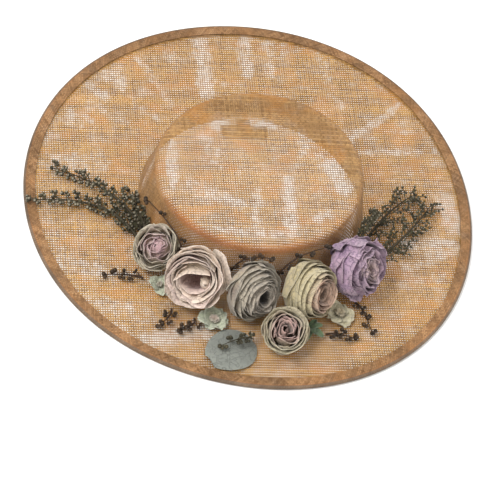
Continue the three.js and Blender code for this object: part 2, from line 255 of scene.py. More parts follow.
def newGroup(name, inputs, outputs):
    tree = bpy.data.node_groups.new(name, "ShaderNodeTree")
    for socketName, kind, value in inputs:
        socket = tree.interface.new_socket(socketName, in_out="INPUT", socket_type=kind)
        if value is not None:
            socket.default_value = value
    for socketName, kind in outputs:
        tree.interface.new_socket(socketName, in_out="OUTPUT", socket_type=kind)
    graph = Graph(tree)
    return graph, graph.add("NodeGroupInput").outputs, graph.add("NodeGroupOutput").inputs


def useGroup(graph, tree, **values):
    node = graph.add("ShaderNodeGroup", node_tree=tree)
    for name, value in values.items():
        graph.put(node.inputs[name], value)
    return node.outputs


weaveForm = {  # as shares of the distance between two threads, but for the wander
    "wanderScale": 0.11, "wander": 0.9,  # how often threads leave their line, and how many millimetres
    "closed": 0.78, "open": 0.32,  # width of a thread in closed and in open cloth
    "finer": 0.05, "uneven": 0.1, "edge": 0.05,
    "over": 0.3, "round": 0.6, "base": 0.35,  # heights where threads cross, of their round tops, and of all
}


def makeWeaveGroup():
    # Plain weave: threads along both directions of a vector in millimetres
    form = weaveForm
    graph, given, out = newGroup(
        "strawWeave",
        [("Vector", "NodeSocketVector", None), ("Pitch Across", "NodeSocketFloat", 1.9),
         ("Pitch Along", "NodeSocketFloat", 2.2), ("Openness", "NodeSocketFloat", 0.5)],
        [("Cover", "NodeSocketFloat"), ("Height", "NodeSocketFloat"), ("Thread", "NodeSocketFloat"),
         ("Warp", "NodeSocketFloat")],
    )
    wander = graph.add("ShaderNodeTexNoise")
    graph.put(wander.inputs["Vector"], given["Vector"])
    wander.inputs["Scale"].default_value = form["wanderScale"]
    wander.inputs["Detail"].default_value = 2
    drift = graph.add("ShaderNodeVectorMath", operation="MULTIPLY_ADD")
    graph.put(drift.inputs[0], wander.outputs["Color"])
    drift.inputs[1].default_value = (form["wander"], form["wander"], 0)
    graph.put(drift.inputs[2], given["Vector"])
    x, y, _ = graph.parts(drift.outputs[0])
    covers, heights, tones = [], [], []
    places = (graph.math("DIVIDE", x, given["Pitch Across"]), graph.math("DIVIDE", y, given["Pitch Along"]))
    counts = [graph.math("FLOOR", place) for place in places]
    for which, sign in ((0, 1.0), (1, -1.0)):
        place, count, other = places[which], counts[which], places[1 - which]
        tone = graph.add("ShaderNodeTexWhiteNoise", noise_dimensions="1D")
        graph.put(tone.inputs["W"], graph.math("ADD", count, 0.37 + which * 31))
        away = graph.math("ABSOLUTE", graph.math("SUBTRACT", graph.math("FRACT", place), 0.5))
        away = graph.math("MULTIPLY", away, 2.0)
        finer = sign * form["finer"]
        wide = graph.range(given["Openness"], 0.0, 1.0, form["closed"] - finer, form["open"] - finer,
                           smooth=False)
        half = graph.math("MULTIPLY_ADD", tone.outputs["Value"], form["uneven"],
                          graph.math("SUBTRACT", wide, form["uneven"] / 2))
        cover = graph.range(away, graph.math("SUBTRACT", half, form["edge"]),
                            graph.math("ADD", half, form["edge"]), 1.0, 0.0)
        turn = graph.math("ADD", graph.math("MULTIPLY", graph.math("SUBTRACT", other, 0.5), math.pi),
                          graph.math("MULTIPLY", count, math.pi))
        over = graph.math("MULTIPLY", graph.math("COSINE", turn), sign * form["over"])
        top = graph.math("SUBTRACT", 1.0, graph.math("MULTIPLY", away, away))
        top = graph.math("MULTIPLY", top, form["round"])
        height = graph.math("ADD", graph.math("ADD", top, over), form["base"])
        heights.append(graph.math("MULTIPLY", cover, height))
        covers.append(cover)
        tones.append(tone.outputs["Value"])
    graph.put(out["Cover"], graph.math("MAXIMUM", covers[0], covers[1]))
    graph.put(out["Height"], graph.math("MAXIMUM", heights[0], heights[1]))
    onTop = graph.math("GREATER_THAN", heights[0], heights[1])
    picked = graph.add("ShaderNodeMix", data_type="FLOAT")
    graph.put(picked.inputs[0], onTop)
    graph.put(picked.inputs[2], tones[1])
    graph.put(picked.inputs[3], tones[0])
    graph.put(out["Thread"], picked.outputs[0])
    graph.put(out["Warp"], onTop)
    return graph.tree


def makeFibreGroup():
    # Fine cloth surface: short fibres and soft mottling
    graph, given, out = newGroup(
        "clothFibre",
        [("Vector", "NodeSocketVector", None), ("Size", "NodeSocketFloat", 0.6)],
        [("Height", "NodeSocketFloat"), ("Mottle", "NodeSocketFloat")],
    )
    inverse = graph.math("DIVIDE", 1.0, given["Size"])
    fine = graph.noise(given["Vector"], inverse, 3, 0.6)
    soft = graph.noise(given["Vector"], graph.math("MULTIPLY", inverse, 0.07), 3, 0.6)
    graph.put(out["Height"], graph.math("MULTIPLY_ADD", fine, 0.4, graph.math("MULTIPLY", soft, 0.6)))
    graph.put(out["Mottle"], soft)
    return graph.tree


strawWeave = makeWeaveGroup()
clothFibre = makeFibreGroup()


def newMaterial(name, roughness=0.8, sheen=0.0, specular=0.3):
    material = bpy.data.materials.new(name)
    material.use_nodes = True
    shader = material.node_tree.nodes["Principled BSDF"]
    shader.inputs["Roughness"].default_value = roughness
    shader.inputs["Sheen Weight"].default_value = sheen
    shader.inputs["Specular IOR Level"].default_value = specular
    return material, Graph(material.node_tree), shader.inputs


def addBump(graph, shader, height, distance, strength=1.0):
    bump = graph.add("ShaderNodeBump")
    bump.inputs["Strength"].default_value = strength
    bump.inputs["Distance"].default_value = distance * mm
    graph.put(bump.inputs["Height"], height)
    graph.put(shader["Normal"], bump.outputs["Normal"])


def objectMillimetres(graph):
    return graph.mapped(graph.add("ShaderNodeTexCoord").outputs["Object"], scale=(1 / mm, 1 / mm, 1 / mm))


strawCloth = {  # clouds of tone over the cloth's map, the ranges in which they set in, and their shares
    "blotch": {"scale": (0.05, 0.075, 1)},
    "streak": {"scale": (0.12, 0.055, 1), "move": (7, 3, 0)},
    "ragged": {"scale": (0.13, 0.1, 1), "move": (3, 9, 0), "detail": 5, "rough": 0.75},
    "dense": {"scale": (0.032, 0.045, 1), "move": (5, 2, 0)},
    "blotchRange": (0.48, 0.72), "streakRange": (0.52, 0.8), "denseRange": (0.47, 0.66), "denseShare": 0.6,
    "raggedness": 3.0, "paleRange": (0.15, 1.0), "grit": 0.28, "gritRange": (0.3, 0.6, 0.45, 1.0),
    "threadTone": 0.35, "gritTone": 0.75, "toneRange": (0.2, 0.85),
    "doubleAndShadeShare": 0.75, "foldShare": 0.85, "foldCloses": 0.6,
    "mottle": 3.2, "mottleRange": (0.33, 0.67), "mottleLight": 1.08,
    "weftOverLight": 1.08, "warpOverShade": 0.92, "relief": 0.35, "reliefShare": 0.8,
}


def strawMaterial(name, look):
    # Marks of a straw piece: red is pale open cloth, green is dark double cloth and painted shade, blue is a
    # fold line darkened partly by painted shade
    material, graph, shader = newMaterial(name, roughness=0.75, sheen=0.03, specular=0.2)
    coords = graph.add("ShaderNodeTexCoord").outputs["UV"]
    flat = graph.mapped(coords, scale=(uvUnit, uvUnit, 1), turn=-math.radians(look["grain"]))
    pale, doubleAndShade, fold = graph.marks("strawMarks")
    cloth = strawCloth

    def clouds(kind):
        form = cloth[kind]
        place = graph.mapped(flat, scale=form["scale"], move=form.get("move", (0, 0, 0)))
        return graph.noise(place, 1.0, form.get("detail", 3), form.get("rough", 0.6))

    # Where the cloth is open: soft clouds, and the ragged pale patches
    cloud = graph.math("MAXIMUM", graph.range(clouds("blotch"), *cloth["blotchRange"]),
                       graph.range(clouds("streak"), *cloth["streakRange"]))
    ragged = graph.math("MULTIPLY_ADD", clouds("ragged"), cloth["raggedness"], -cloth["raggedness"] / 2)
    pale = graph.range(graph.math("ADD", pale, ragged), *cloth["paleRange"])
    bare = graph.math("MAXIMUM", graph.math("MULTIPLY", cloud, look["cloud"]), pale, clamp=True)
    grit = graph.noise(flat, cloth["grit"], 3, 0.65)
    bare = graph.math("MULTIPLY", bare, graph.range(grit, *cloth["gritRange"]), clamp=True)
    closed = graph.math("MULTIPLY", doubleAndShade, look["closed"])
    closed = graph.math("MULTIPLY_ADD", fold, cloth["foldCloses"], closed)
    openness = graph.math("MULTIPLY_ADD", bare, look["openRange"], look["openBase"])
    openness = graph.math("SUBTRACT", openness, closed, clamp=True)
    weave = useGroup(graph, strawWeave, Vector=flat, Openness=openness,
                     **{"Pitch Across": look["pitch"][0], "Pitch Along": look["pitch"][1]})

    # Colour of the threads, with painted shade in their gaps
    fibre = graph.math("MULTIPLY_ADD", weave["Thread"], cloth["threadTone"],
                       graph.math("MULTIPLY", grit, cloth["gritTone"]))
    body = graph.mix(graph.range(fibre, *cloth["toneRange"]), look["dark"], look["light"])
    dense = graph.range(clouds("dense"), *cloth["denseRange"], 0.0, cloth["denseShare"])
    body = graph.mix(dense, body, look["warm"])
    body = graph.mix(graph.math("MULTIPLY", bare, look["bleach"]), body, look["pale"])
    # Dark double cloth with painted shade on the crown's front wall and the tip's back band, then fold lines
    # darkened partly by painted shade
    body = graph.mix(graph.math("MULTIPLY", doubleAndShade, cloth["doubleAndShadeShare"]), body, look["doubleAndShade"])
    body = graph.mix(graph.math("MULTIPLY", fold, cloth["foldShare"]), body, look["fold"])
    mottle = graph.noise(graph.mapped(coords, scale=(cloth["mottle"], cloth["mottle"], 1)), 1.0, 4, 0.65)
    low = graph.math("MULTIPLY", graph.range(weave["Height"], 0.15, 0.8, look["gapShade"], 1.0),
                     graph.range(mottle, *cloth["mottleRange"], look["mottle"], cloth["mottleLight"]))
    # Painted light and shade of the crossings: lighter where one thread family lies on top, darker where the
    # other does
    low = graph.math("MULTIPLY", low, graph.range(weave["Warp"], 0, 1, cloth["weftOverLight"], cloth["warpOverShade"]))
    graph.put(shader["Base Color"], graph.mix(1.0, body, graph.grey(low), "MULTIPLY"))

    # Holes, with more light let down to the floor than the eye sees through them
    cover = graph.math("MAXIMUM", weave["Cover"], look["filled"])
    path = graph.add("ShaderNodeLightPath").outputs
    passed = graph.math("MAXIMUM", path["Is Shadow Ray"], path["Is Diffuse Ray"])
    graph.put(shader["Alpha"], graph.math("MULTIPLY", cover, graph.range(passed, 0, 1, 1.0, look["shade"])))
    addBump(graph, shader, weave["Height"], cloth["relief"], cloth["reliefShare"])
    return material


# Straw body: brim, binding and crown
brimLook = {
    "grain": 17.5, "pitch": (2.0, 2.35), "openBase": 0.48, "openRange": 0.48, "closed": 0.2, "filled": 0.0,
    "cloud": 0.6, "bleach": 0.75, "mottle": 0.86, "gapShade": 0.75, "shade": 0.2,
    "dark": (0.17, 0.08, 0.023, 1), "light": (0.43, 0.243, 0.079, 1), "pale": (0.37, 0.27, 0.19, 1),
    "warm": (0.42, 0.185, 0.043, 1), "doubleAndShade": (0.28, 0.14, 0.046, 1), "fold": (0.30, 0.115, 0.042, 1),
}
crownLook = dict(
    brimLook, cloud=0.5, openBase=0.53, closed=0.22,
    dark=(0.165, 0.082, 0.03, 1), light=(0.42, 0.248, 0.1, 1), pale=(0.38, 0.29, 0.22, 1),
    doubleAndShade=(0.24, 0.12, 0.042, 1),
)
bindingLook = dict(
    brimLook, grain=45, pitch=(1.5, 1.5), openBase=0.1, openRange=0.3, filled=1.0,
    cloud=0.5, bleach=0.4, mottle=0.62, gapShade=0.4, shade=0.8,
    dark=(0.15, 0.07, 0.026, 1), light=(0.38, 0.21, 0.095, 1), warm=(0.33, 0.16, 0.06, 1),
    doubleAndShade=(0.15, 0.115, 0.085, 1),
)
outline = {"radius": 193, "waves": ((3, -0.7, -1.3), (4, -0.6, -0.8)), "inset": 1.5}
oval = {"x": 0.4, "y": -4.7, "turn": 34}
brimSheet = {
    "steps": 240, "rings": 44, "hole": (93.8, 91.3), "height": 2.2, "thick": 0.5,
    "ripple": 0.22, "rippleSize": 38, "darkEdge": 0.5,
}
palePatches = (  # x and y at both ends, half width, strength
    (-81, 156, -62, 100, 10, 0.90), (-44, 173, -33, 135, 9, 0.80), (-22, 173, -13, 140, 8, 0.70),
    (-8, 175, -3, 161, 7, 0.60), (-103, 133, -95, 122, 9, 0.50), (-128, 116, -88, 76, 5, 0.60),
    (-147, 90, -135, 85, 11, 0.80), (-162, 72, -144, 64, 8, 0.70), (-145, 50, -116, 41, 5, 0.60),
    (-113, 62, -93, 54, 6, 0.45), (-176, 32, -154, 33, 13, 0.60), (-167, -18, -131, -7, 13, 0.60),
    (70, 94, 104, 146, 5, 0.90), (80, 81, 131, 98, 5, 0.70), (160, 54, 174, 29, 13, 0.90),
    (138, -5, 170, 9, 9, 0.85), (159, -10, 178, 4, 8, 0.70), (136, -31, 160, -16, 7, 0.60),
    (-136, -120, -93, -117, 11, 0.60), (-102, -148, -53, -150, 11, 0.55), (-48, -171, -7, -147, 11, 0.90),
    (-75, -168, -54, -179, 9, 0.60), (78, 191, 94, 165, 8, 0.50), (125, 135, 144, 106, 8, 0.50),
    (-160, -77, -141, -103, 9, 0.45), (24, 181, 36, 151, 8, 0.50), (43, 135, 59, 123, 7, 0.45),
    (163, 95, 174, 70, 9, 0.60), (141, -48, 171, -29, 8, 0.50), (113, 60, 154, 70, 6, 0.45),
    (-149, -40, -127, -35, 7, 0.40), (97, 113, 136, 123, 5, 0.50),
)
tipPatches = (
    (-61, -75, -44, -84, 9, 1.00), (-37, -47, -7, -49, 8, 0.80), (3, -32, 13, -68, 7, 0.60),
    (26, -11, 38, -57, 8, 0.90), (28, 40, 33, 23, 8, 0.60), (56, 18, 73, -5, 10, 1.00),
    (45, 23, 54, 13, 8, 0.60), (-78, -9, -67, -50, 10, 0.75), (-46, 25, -40, 30, 8, 0.80),
    (-16, 38, -1, 43, 8, 0.80), (-21, -82, 47, -65, 7, 0.70), (56, -46, 66, -32, 8, 0.60),
    (-51, 12, -37, -11, 11, 0.50), (-20, 6, -11, -24, 6, 0.35), (9, 17, 17, -12, 6, 0.35),
    (-52, -39, -41, -52, 8, 0.50),
)


def patchShare(points, patches):
    # How pale the cloth is at plan points: soft strokes between each patch's two ends
    share = np.zeros(len(points))
    for x0, y0, x1, y1, half, strength in patches:
        start, way = np.array((x0, y0)), np.array((x1 - x0, y1 - y0))
        along = np.clip(((points - start) @ way) / (way @ way), 0, 1)
        away = np.linalg.norm(points - start - along[:, None] * way, axis=1)
        share = np.maximum(share, strength * (1 - smoothstep(half * 0.3, half * 1.25, away)))
    return share


def outlineRadius(angle):
    waves = sum(c * np.cos(n * angle) + s * np.sin(n * angle) for n, c, s in outline["waves"])
    return outline["radius"] + waves


def ovalAt(angle, long, short):
    turn = math.radians(oval["turn"])
    along, across = long * np.cos(angle - turn), short * np.sin(angle - turn)
    x = oval["x"] + along * math.cos(turn) - across * math.sin(turn)
    y = oval["y"] + along * math.sin(turn) + across * math.cos(turn)
    return np.stack([x, y], -1)


def unevenness(plan, size, layer):
    # Smooth noise at each plan point, between -1 and 1
    return np.array([noise.noise(Vector((x / size, y / size, layer))) for x, y in plan])


def ringSheet(name, steps, ringCount, closeMiddle=False):
    # Rings of points from one circle, the first outside; returns the piece with each point's ring and angle
    rise = 0.01
    deselect()
    bpy.ops.mesh.primitive_circle_add(vertices=steps, radius=0.1)
    sheet = bpy.context.object
    sheet.name = name
    sheet.data.name = name
    bpy.ops.object.mode_set(mode="EDIT")
    bpy.ops.mesh.select_all(action="SELECT")
    for _ in range(ringCount - 1):
        bpy.ops.mesh.extrude_region_move(TRANSFORM_OT_translate={"value": (0, 0, rise)})
    if closeMiddle:
        bpy.ops.mesh.merge(type="CENTER")
    bpy.ops.mesh.select_all(action="SELECT")
    bpy.ops.mesh.normals_make_consistent(inside=False)
    bpy.ops.object.mode_set(mode="OBJECT")
    points = pointsOf(sheet.data)
    ring = np.rint(points[:, 2] / rise).astype(int)
    return sheet, ring, np.arctan2(points[:, 1], points[:, 0])


def setMap(mesh, uv):
    # uv has one row a point, in millimetres
    layer = mesh.uv_layers.active or mesh.uv_layers.new(name="cloth")
    corners = np.zeros(len(mesh.loops), int)
    mesh.loops.foreach_get("vertex_index", corners)
    layer.data.foreach_set("uv", (uv[corners] / uvUnit).ravel())


def makeBrimSheet():
    spec = brimSheet
    sheet, ring, angle = ringSheet("brimCloth", spec["steps"], spec["rings"])
    share = ring / (spec["rings"] - 1)
    radius = outlineRadius(angle) - outline["inset"]
    outer = np.stack([radius * np.cos(angle), radius * np.sin(angle)], -1)
    inner = ovalAt(angle, *spec["hole"])
    plan = inner + (outer - inner) * share[:, None] + np.array(shift)
    height = spec["height"] + spec["ripple"] * unevenness(plan, spec["rippleSize"], 3)
    placePoints(sheet.data, np.column_stack([plan, height]) * mm)
    setMap(sheet.data, plan)
    marks = np.zeros((len(plan), 3))
    marks[:, 0] = patchShare(plan, palePatches)
    marks[:, 1] = spec["darkEdge"] * smoothstep(0.9, 1.0, share)
    markPoints(sheet.data, "strawMarks", marks)
    applyModifier(sheet, "SOLIDIFY", thickness=spec["thick"] * mm, offset=0)
    return finishPiece(sheet, strawMaterial("brimStraw", brimLook), ["brim"])


crownForm = {  # heights over the brim, and the oval's two half lengths there
    "sections": ((-0.5, 96.5, 94.1), (0, 96.2, 93.8), (5, 94.4, 91.6), (24, 91.6, 87.2), (42, 89, 83.2),
                 (44.6, 88, 82), (46.2, 86.6, 80.6), (47, 84, 78), (47.25, 80, 74)),
    "steps": 240, "wallRings": 30, "tipRings": 22, "wallTop": 47, "rise": 0.8, "thick": 0.5,
    "dent": 0.35, "dentSize": 30, "dentReach": 84,
}
crownShading = {
    "front": (-45, -78),  # y where the crown's front begins, and where it is full
    # The front wall gets more of the dark mark, as painted shade
    "wall": 0.6, "frontWall": 0.25, "wallFades": (38, 46),
    "paintedBackWallShade": 0.44, "paintedBackWallShadeFrom": (52, 66), "paintedBackWallShadeTurn": 0.25,  # painted shade of the shadowed back wall, seen through the tip's back
    # A darker fold line just below the tip's edge: denser folded cloth with painted shade in the crease, and
    # more painted shade at the front
    "fold": 43.8, "foldWidth": 3.4, "foldEnds": (46.4, 47.2), "foldShare": 0.25, "frontFold": 0.75,
}


def makeCrownSheet():
    spec, shading = crownForm, crownShading
    table = np.array(spec["sections"])
    # The wall's sections, drawn closer together, then rings over the tip to its middle
    place = np.interp(np.linspace(0, len(table) - 1, spec["wallRings"]), range(len(table)), range(len(table)))
    wall = np.column_stack([np.interp(place, range(len(table)), table[:, k]) for k in range(3)])
    last = wall[-1]
    shares = 1 - np.arange(1, spec["tipRings"] + 1) / spec["tipRings"]
    top = spec["wallTop"] + spec["rise"]
    tip = np.column_stack([last[0] + (top - last[0]) * (1 - shares ** 2), last[1] * shares, last[2] * shares])
    rows = np.vstack([wall, tip])
    sheet, ring, angle = ringSheet("crownCloth", spec["steps"], len(rows), closeMiddle=True)
    ring = np.minimum(ring, len(rows) - 1)
    plan = ovalAt(angle, rows[ring, 1], rows[ring, 2])
    centre = np.array((oval["x"], oval["y"]))
    reach = np.linalg.norm(plan - centre, axis=1)
    # Cloth's own length from the middle, measured down the wall
    mean = (rows[:, 1] + rows[:, 2]) / 2
    slope = np.hypot(np.diff(rows[:, 0]), np.diff(mean))
    fromMiddle = np.append(np.cumsum(slope[::-1])[::-1], 0)
    stretch = np.where(mean > 0, fromMiddle / np.maximum(mean, 1e-6), 1)[ring]
    onTip = ring >= len(wall) - 1
    stretch = np.where(onTip, 1, stretch)
    cloth = centre + (plan - centre) * stretch[:, None] + np.array(shift)
    dent = unevenness(plan, spec["dentSize"], 8) * spec["dent"] * (reach < spec["dentReach"])
    height = seat + rows[ring, 0] + dent
    plan = plan + np.array(shift)
    placePoints(sheet.data, np.column_stack([plan, height]) * mm)
    setMap(sheet.data, cloth)

    level = rows[ring, 0]
    x, y = (plan - centre).T
    front = smoothstep(*shading["front"], y)
    # The tip's back band gets painted shade, for the shadowed back wall seen through it
    paintedBackWallShade = shading["paintedBackWallShade"] * smoothstep(*shading["paintedBackWallShadeFrom"], y + shading["paintedBackWallShadeTurn"] * x) * onTip
    # Dark double cloth low on the wall, with painted shade added on the front wall
    doubleAndShade = (shading["wall"] + shading["frontWall"] * front) * (1 - smoothstep(*shading["wallFades"], level))
    # Fold line: denser folded cloth with painted shade, strongest at the front
    fold = np.exp(-((level - shading["fold"]) / shading["foldWidth"]) ** 2)
    fold = fold * (1 - smoothstep(*shading["foldEnds"], level))
    marks = np.zeros((len(plan), 3))
    marks[:, 0] = patchShare(plan, tipPatches) * onTip
    marks[:, 1] = np.maximum(doubleAndShade, paintedBackWallShade)
    marks[:, 2] = fold * (shading["foldShare"] + shading["frontFold"] * front)
    markPoints(sheet.data, "strawMarks", marks)
    applyModifier(sheet, "SOLIDIFY", thickness=spec["thick"] * mm, offset=0)
    return finishPiece(sheet, strawMaterial("crownStraw", crownLook), ["crown"])


bindingForm = {
    "steps": 240, "thick": 0.6, "puckers": 9, "puckerDepth": 0.5, "puckerHeight": 0.12,
    "seam": 2.4, "seamWidth": 0.5, "seamShade": 0.35, "edge": 1.5,
    # inset from the outline, height: from under the brim, round the edge, to over the brim
    "fold": ((9.8, 0.45), (7, 0.35), (3.5, 0.35), (1.4, 0.45), (0.5, 0.95), (0.3, 2.1), (0.5, 3.25),
             (1.4, 3.8), (2.4, 3.72), (3.4, 3.95), (5.5, 4.0), (8, 3.85), (9.7, 3.55)),
}


def makeBindingSheet():
    spec = bindingForm
    fold = np.array(spec["fold"])
    sheet, ring, angle = ringSheet("bindingStrip", spec["steps"], len(fold))
    inset, level = fold[ring].T
    pucker = np.array([
        noise.noise(Vector((math.cos(a) * spec["puckers"], math.sin(a) * spec["puckers"], r * 0.4)))
        for a, r in zip(angle, ring)
    ])
    radius = outlineRadius(angle) - inset - spec["puckerDepth"] * pucker * (inset > 4)
    height = level - spec["puckerHeight"] * pucker * (inset > 1)
    plan = np.stack([radius * np.cos(angle), radius * np.sin(angle)], -1) + np.array(shift)
    placePoints(sheet.data, np.column_stack([plan, height]) * mm)
    across = np.append(0, np.cumsum(np.hypot(*np.diff(fold, axis=0).T)))
    mesh = sheet.data
    layer = mesh.uv_layers.active or mesh.uv_layers.new(name="cloth")
    for face in mesh.polygons:  # the strip's map runs round the edge, so its last faces end a whole turn on
        turns = [angle[v] % (2 * math.pi) for v in face.vertices]
        wraps = max(turns) - min(turns) > math.pi
        for loop, v, turn in zip(face.loop_indices, face.vertices, turns):
            if wraps and turn < math.pi:
                turn += 2 * math.pi
            layer.data[loop].uv = (turn * outline["radius"] / uvUnit, across[ring[v]] / uvUnit)
    marks = np.zeros((len(plan), 3))
    marks[:, 2] = spec["seamShade"] * np.exp(-((inset - spec["seam"]) / spec["seamWidth"]) ** 2) * (level > 2)
    # A darker greyish band round the binding's outer edge
    marks[:, 1] = inset < spec["edge"]
    markPoints(mesh, "strawMarks", marks)
    applyModifier(sheet, "SOLIDIFY", thickness=spec["thick"] * mm, offset=0)
    return finishPiece(sheet, strawMaterial("bindingStraw", bindingLook), ["brim_binding"])


makeBrimSheet()
makeCrownSheet()
makeBindingSheet()


def tapeMaterial():
    material, graph, shader = newMaterial("headTape", roughness=0.85, sheen=0.1)
    coords = objectMillimetres(graph)
    rib = graph.add("ShaderNodeTexWave", wave_type="BANDS", bands_direction="X")
    graph.put(rib.inputs["Vector"], coords)
    rib.inputs["Scale"].default_value = 0.5
    fibre = useGroup(graph, clothFibre, Vector=coords, Size=0.5)
    tone = graph.mix(fibre["Mottle"], (0.13, 0.07, 0.03, 1), (0.22, 0.125, 0.055, 1))
    ribbed = graph.mix(graph.math("MULTIPLY", rib.outputs["Fac"], 0.3), tone, (0.12, 0.06, 0.025, 1))
    graph.put(shader["Base Color"], ribbed)
    addBump(graph, shader, graph.math("ADD", rib.outputs["Fac"], fibre["Height"]), 0.2)
    return material


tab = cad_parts["head_tab"]
tab.data.materials.clear()
tab.data.materials.append(tapeMaterial())
print("straw body ready")


# Cloth petals
petalCloth = {
    "clouds": 0.09, "cloudRange": (0.42, 0.68),
    "veins": (26.0, 3.0, 40.0),  # across a petal, along it, and from one petal to the next
    "veinRange": (0.5, 0.72), "lightRange": (0.5, 0.25), "lightShare": 0.22,
    "innerRange": (0.35, 0.7), "deepShadeRange": (0.55, 0.05),
    "holeLayers": (0.9, 0.97), "holeRange": (0.99, 0.72),
    "fold": 0.2, "foldMove": (4, 9, 2), "foldWidth": 0.045, "tones": (0.84, 1.06),
    "veinHeight": 1.3, "foldDepth": 1.6, "relief": 0.45, "reliefShare": 0.9,
}


def petalMaterial(name, look):
    # Marks of a petal: red is 0 on the outermost layer to 1 inside, green a petal's own tone, blue its rim
    material, graph, shader = newMaterial(name, roughness=0.78, sheen=0.25, specular=0.2)
    cloth = petalCloth
    coords = objectMillimetres(graph)
    layer, tone, rim = graph.marks("petalMarks")
    across, up, _ = graph.parts(graph.add("ShaderNodeTexCoord").outputs["UV"])

    # Layers and soft clouds of a second colour
    body = graph.mix(graph.range(layer, look["from"], look["to"]), look["outer"], look["inner"])
    cloud = graph.range(graph.noise(coords, cloth["clouds"], 3, 0.6), *cloth["cloudRange"])
    body = graph.mix(graph.math("MULTIPLY", cloud, look["blotch"]), body, look["spot"])

    # Veins along each petal, light between dark
    place = graph.add("ShaderNodeCombineXYZ")
    for socket, value, scale in zip(place.inputs, (across, up, tone), cloth["veins"]):
        graph.put(socket, graph.math("MULTIPLY", value, scale))
    veins = graph.noise(place.outputs[0], 1.0, 3, 0.65)
    dark = graph.math("MULTIPLY", graph.range(veins, *cloth["veinRange"]), look["vein"])
    body = graph.mix(dark, body, look["crease"])
    pale = graph.math("MULTIPLY", graph.range(veins, *cloth["lightRange"]), cloth["lightShare"])
    body = graph.mix(pale, body, look["rim"])

    # Rim paler, partly as painted highlight on the rolled edge; painted shade at the deep foot, and sharp
    # folds darkened by painted shade
    edge = graph.mix(graph.range(layer, *cloth["innerRange"]), look["rim"], look.get("innerRim", look["rim"]))
    body = graph.mix(graph.math("MULTIPLY", rim, look["rimShare"]), body, edge)
    body = graph.mix(graph.range(up, *cloth["deepShadeRange"], 0.0, look["depth"]), body, look["deep"])
    ridge = graph.noise(graph.mapped(coords, move=cloth["foldMove"]), cloth["fold"], 2, 0.5)
    ridge = graph.math("ABSOLUTE", graph.math("SUBTRACT", ridge, 0.5))
    fold = graph.range(ridge, 0.0, cloth["foldWidth"], 1.0, 0.0)
    body = graph.mix(graph.math("MULTIPLY", fold, look.get("folds", 0.25)), body, look["crease"])

    # Painted shade filling the hole in the middle, and a tone for each petal
    hole = graph.range(up, *cloth["holeRange"], 0.0, look.get("hole", 0.0))
    hole = graph.math("MULTIPLY", graph.range(layer, *cloth["holeLayers"]), hole)
    body = graph.mix(hole, body, look["deep"])
    light = graph.grey(graph.range(tone, 0.0, 1.0, *cloth["tones"], smooth=False))
    graph.put(shader["Base Color"], graph.mix(1.0, body, light, "MULTIPLY"))
    fibre = useGroup(graph, clothFibre, Vector=coords, Size=0.7)
    height = graph.math("ADD", fibre["Height"], graph.math("MULTIPLY", veins, cloth["veinHeight"]))
    height = graph.math("SUBTRACT", height, graph.math("MULTIPLY", fold, cloth["foldDepth"]))
    addBump(graph, shader, height, cloth["relief"], cloth["reliefShare"])
    return material


def petalSheet(across, rows):
    deselect()
    bpy.ops.mesh.primitive_grid_add(x_subdivisions=across, y_subdivisions=rows, size=2)
    return bpy.context.object


def copySheet(base):
    copy = base.copy()
    copy.data = base.data.copy()
    bpy.context.collection.objects.link(copy)
    return copy


def markPetal(petal, layer, tone, rim):
    marks = np.column_stack([np.full(len(rim), layer), np.full(len(rim), tone), rim])
    markPoints(petal.data, "petalMarks", marks)


def joinPetals(name, base, made):
    # Removes the flat sheet and joins the petals shaped from it into one object
    activate(base)
    bpy.ops.object.delete()
    activate(made[0])
    for petal in made:
        petal.select_set(True)
    if len(made) > 1:
        bpy.ops.object.join()
    piece = bpy.context.object
    piece.name = name
    piece.data.name = name
    return piece


def thickenPetals(piece, thick):
    applyModifier(piece, "SOLIDIFY", thickness=thick * mm, offset=0)
    applyModifier(piece, "SUBSURF", levels=1, render_levels=1)


petalForm = {  # start and length along a petal, as shares of its height
    "body": (0, 0.62), "cup": (0.6, 0.4), "roll": (0.83, 0.17), "lean": (0.35, 0.65),
    "rollTurn": 150,  # degrees by which a rim rolls over
    "rimTop": (0.72, 0.98), "rimSides": (0.8, 1.0), "rimSideShare": 0.8,
    "rows": 1.45, "tilt": 0.06,
}


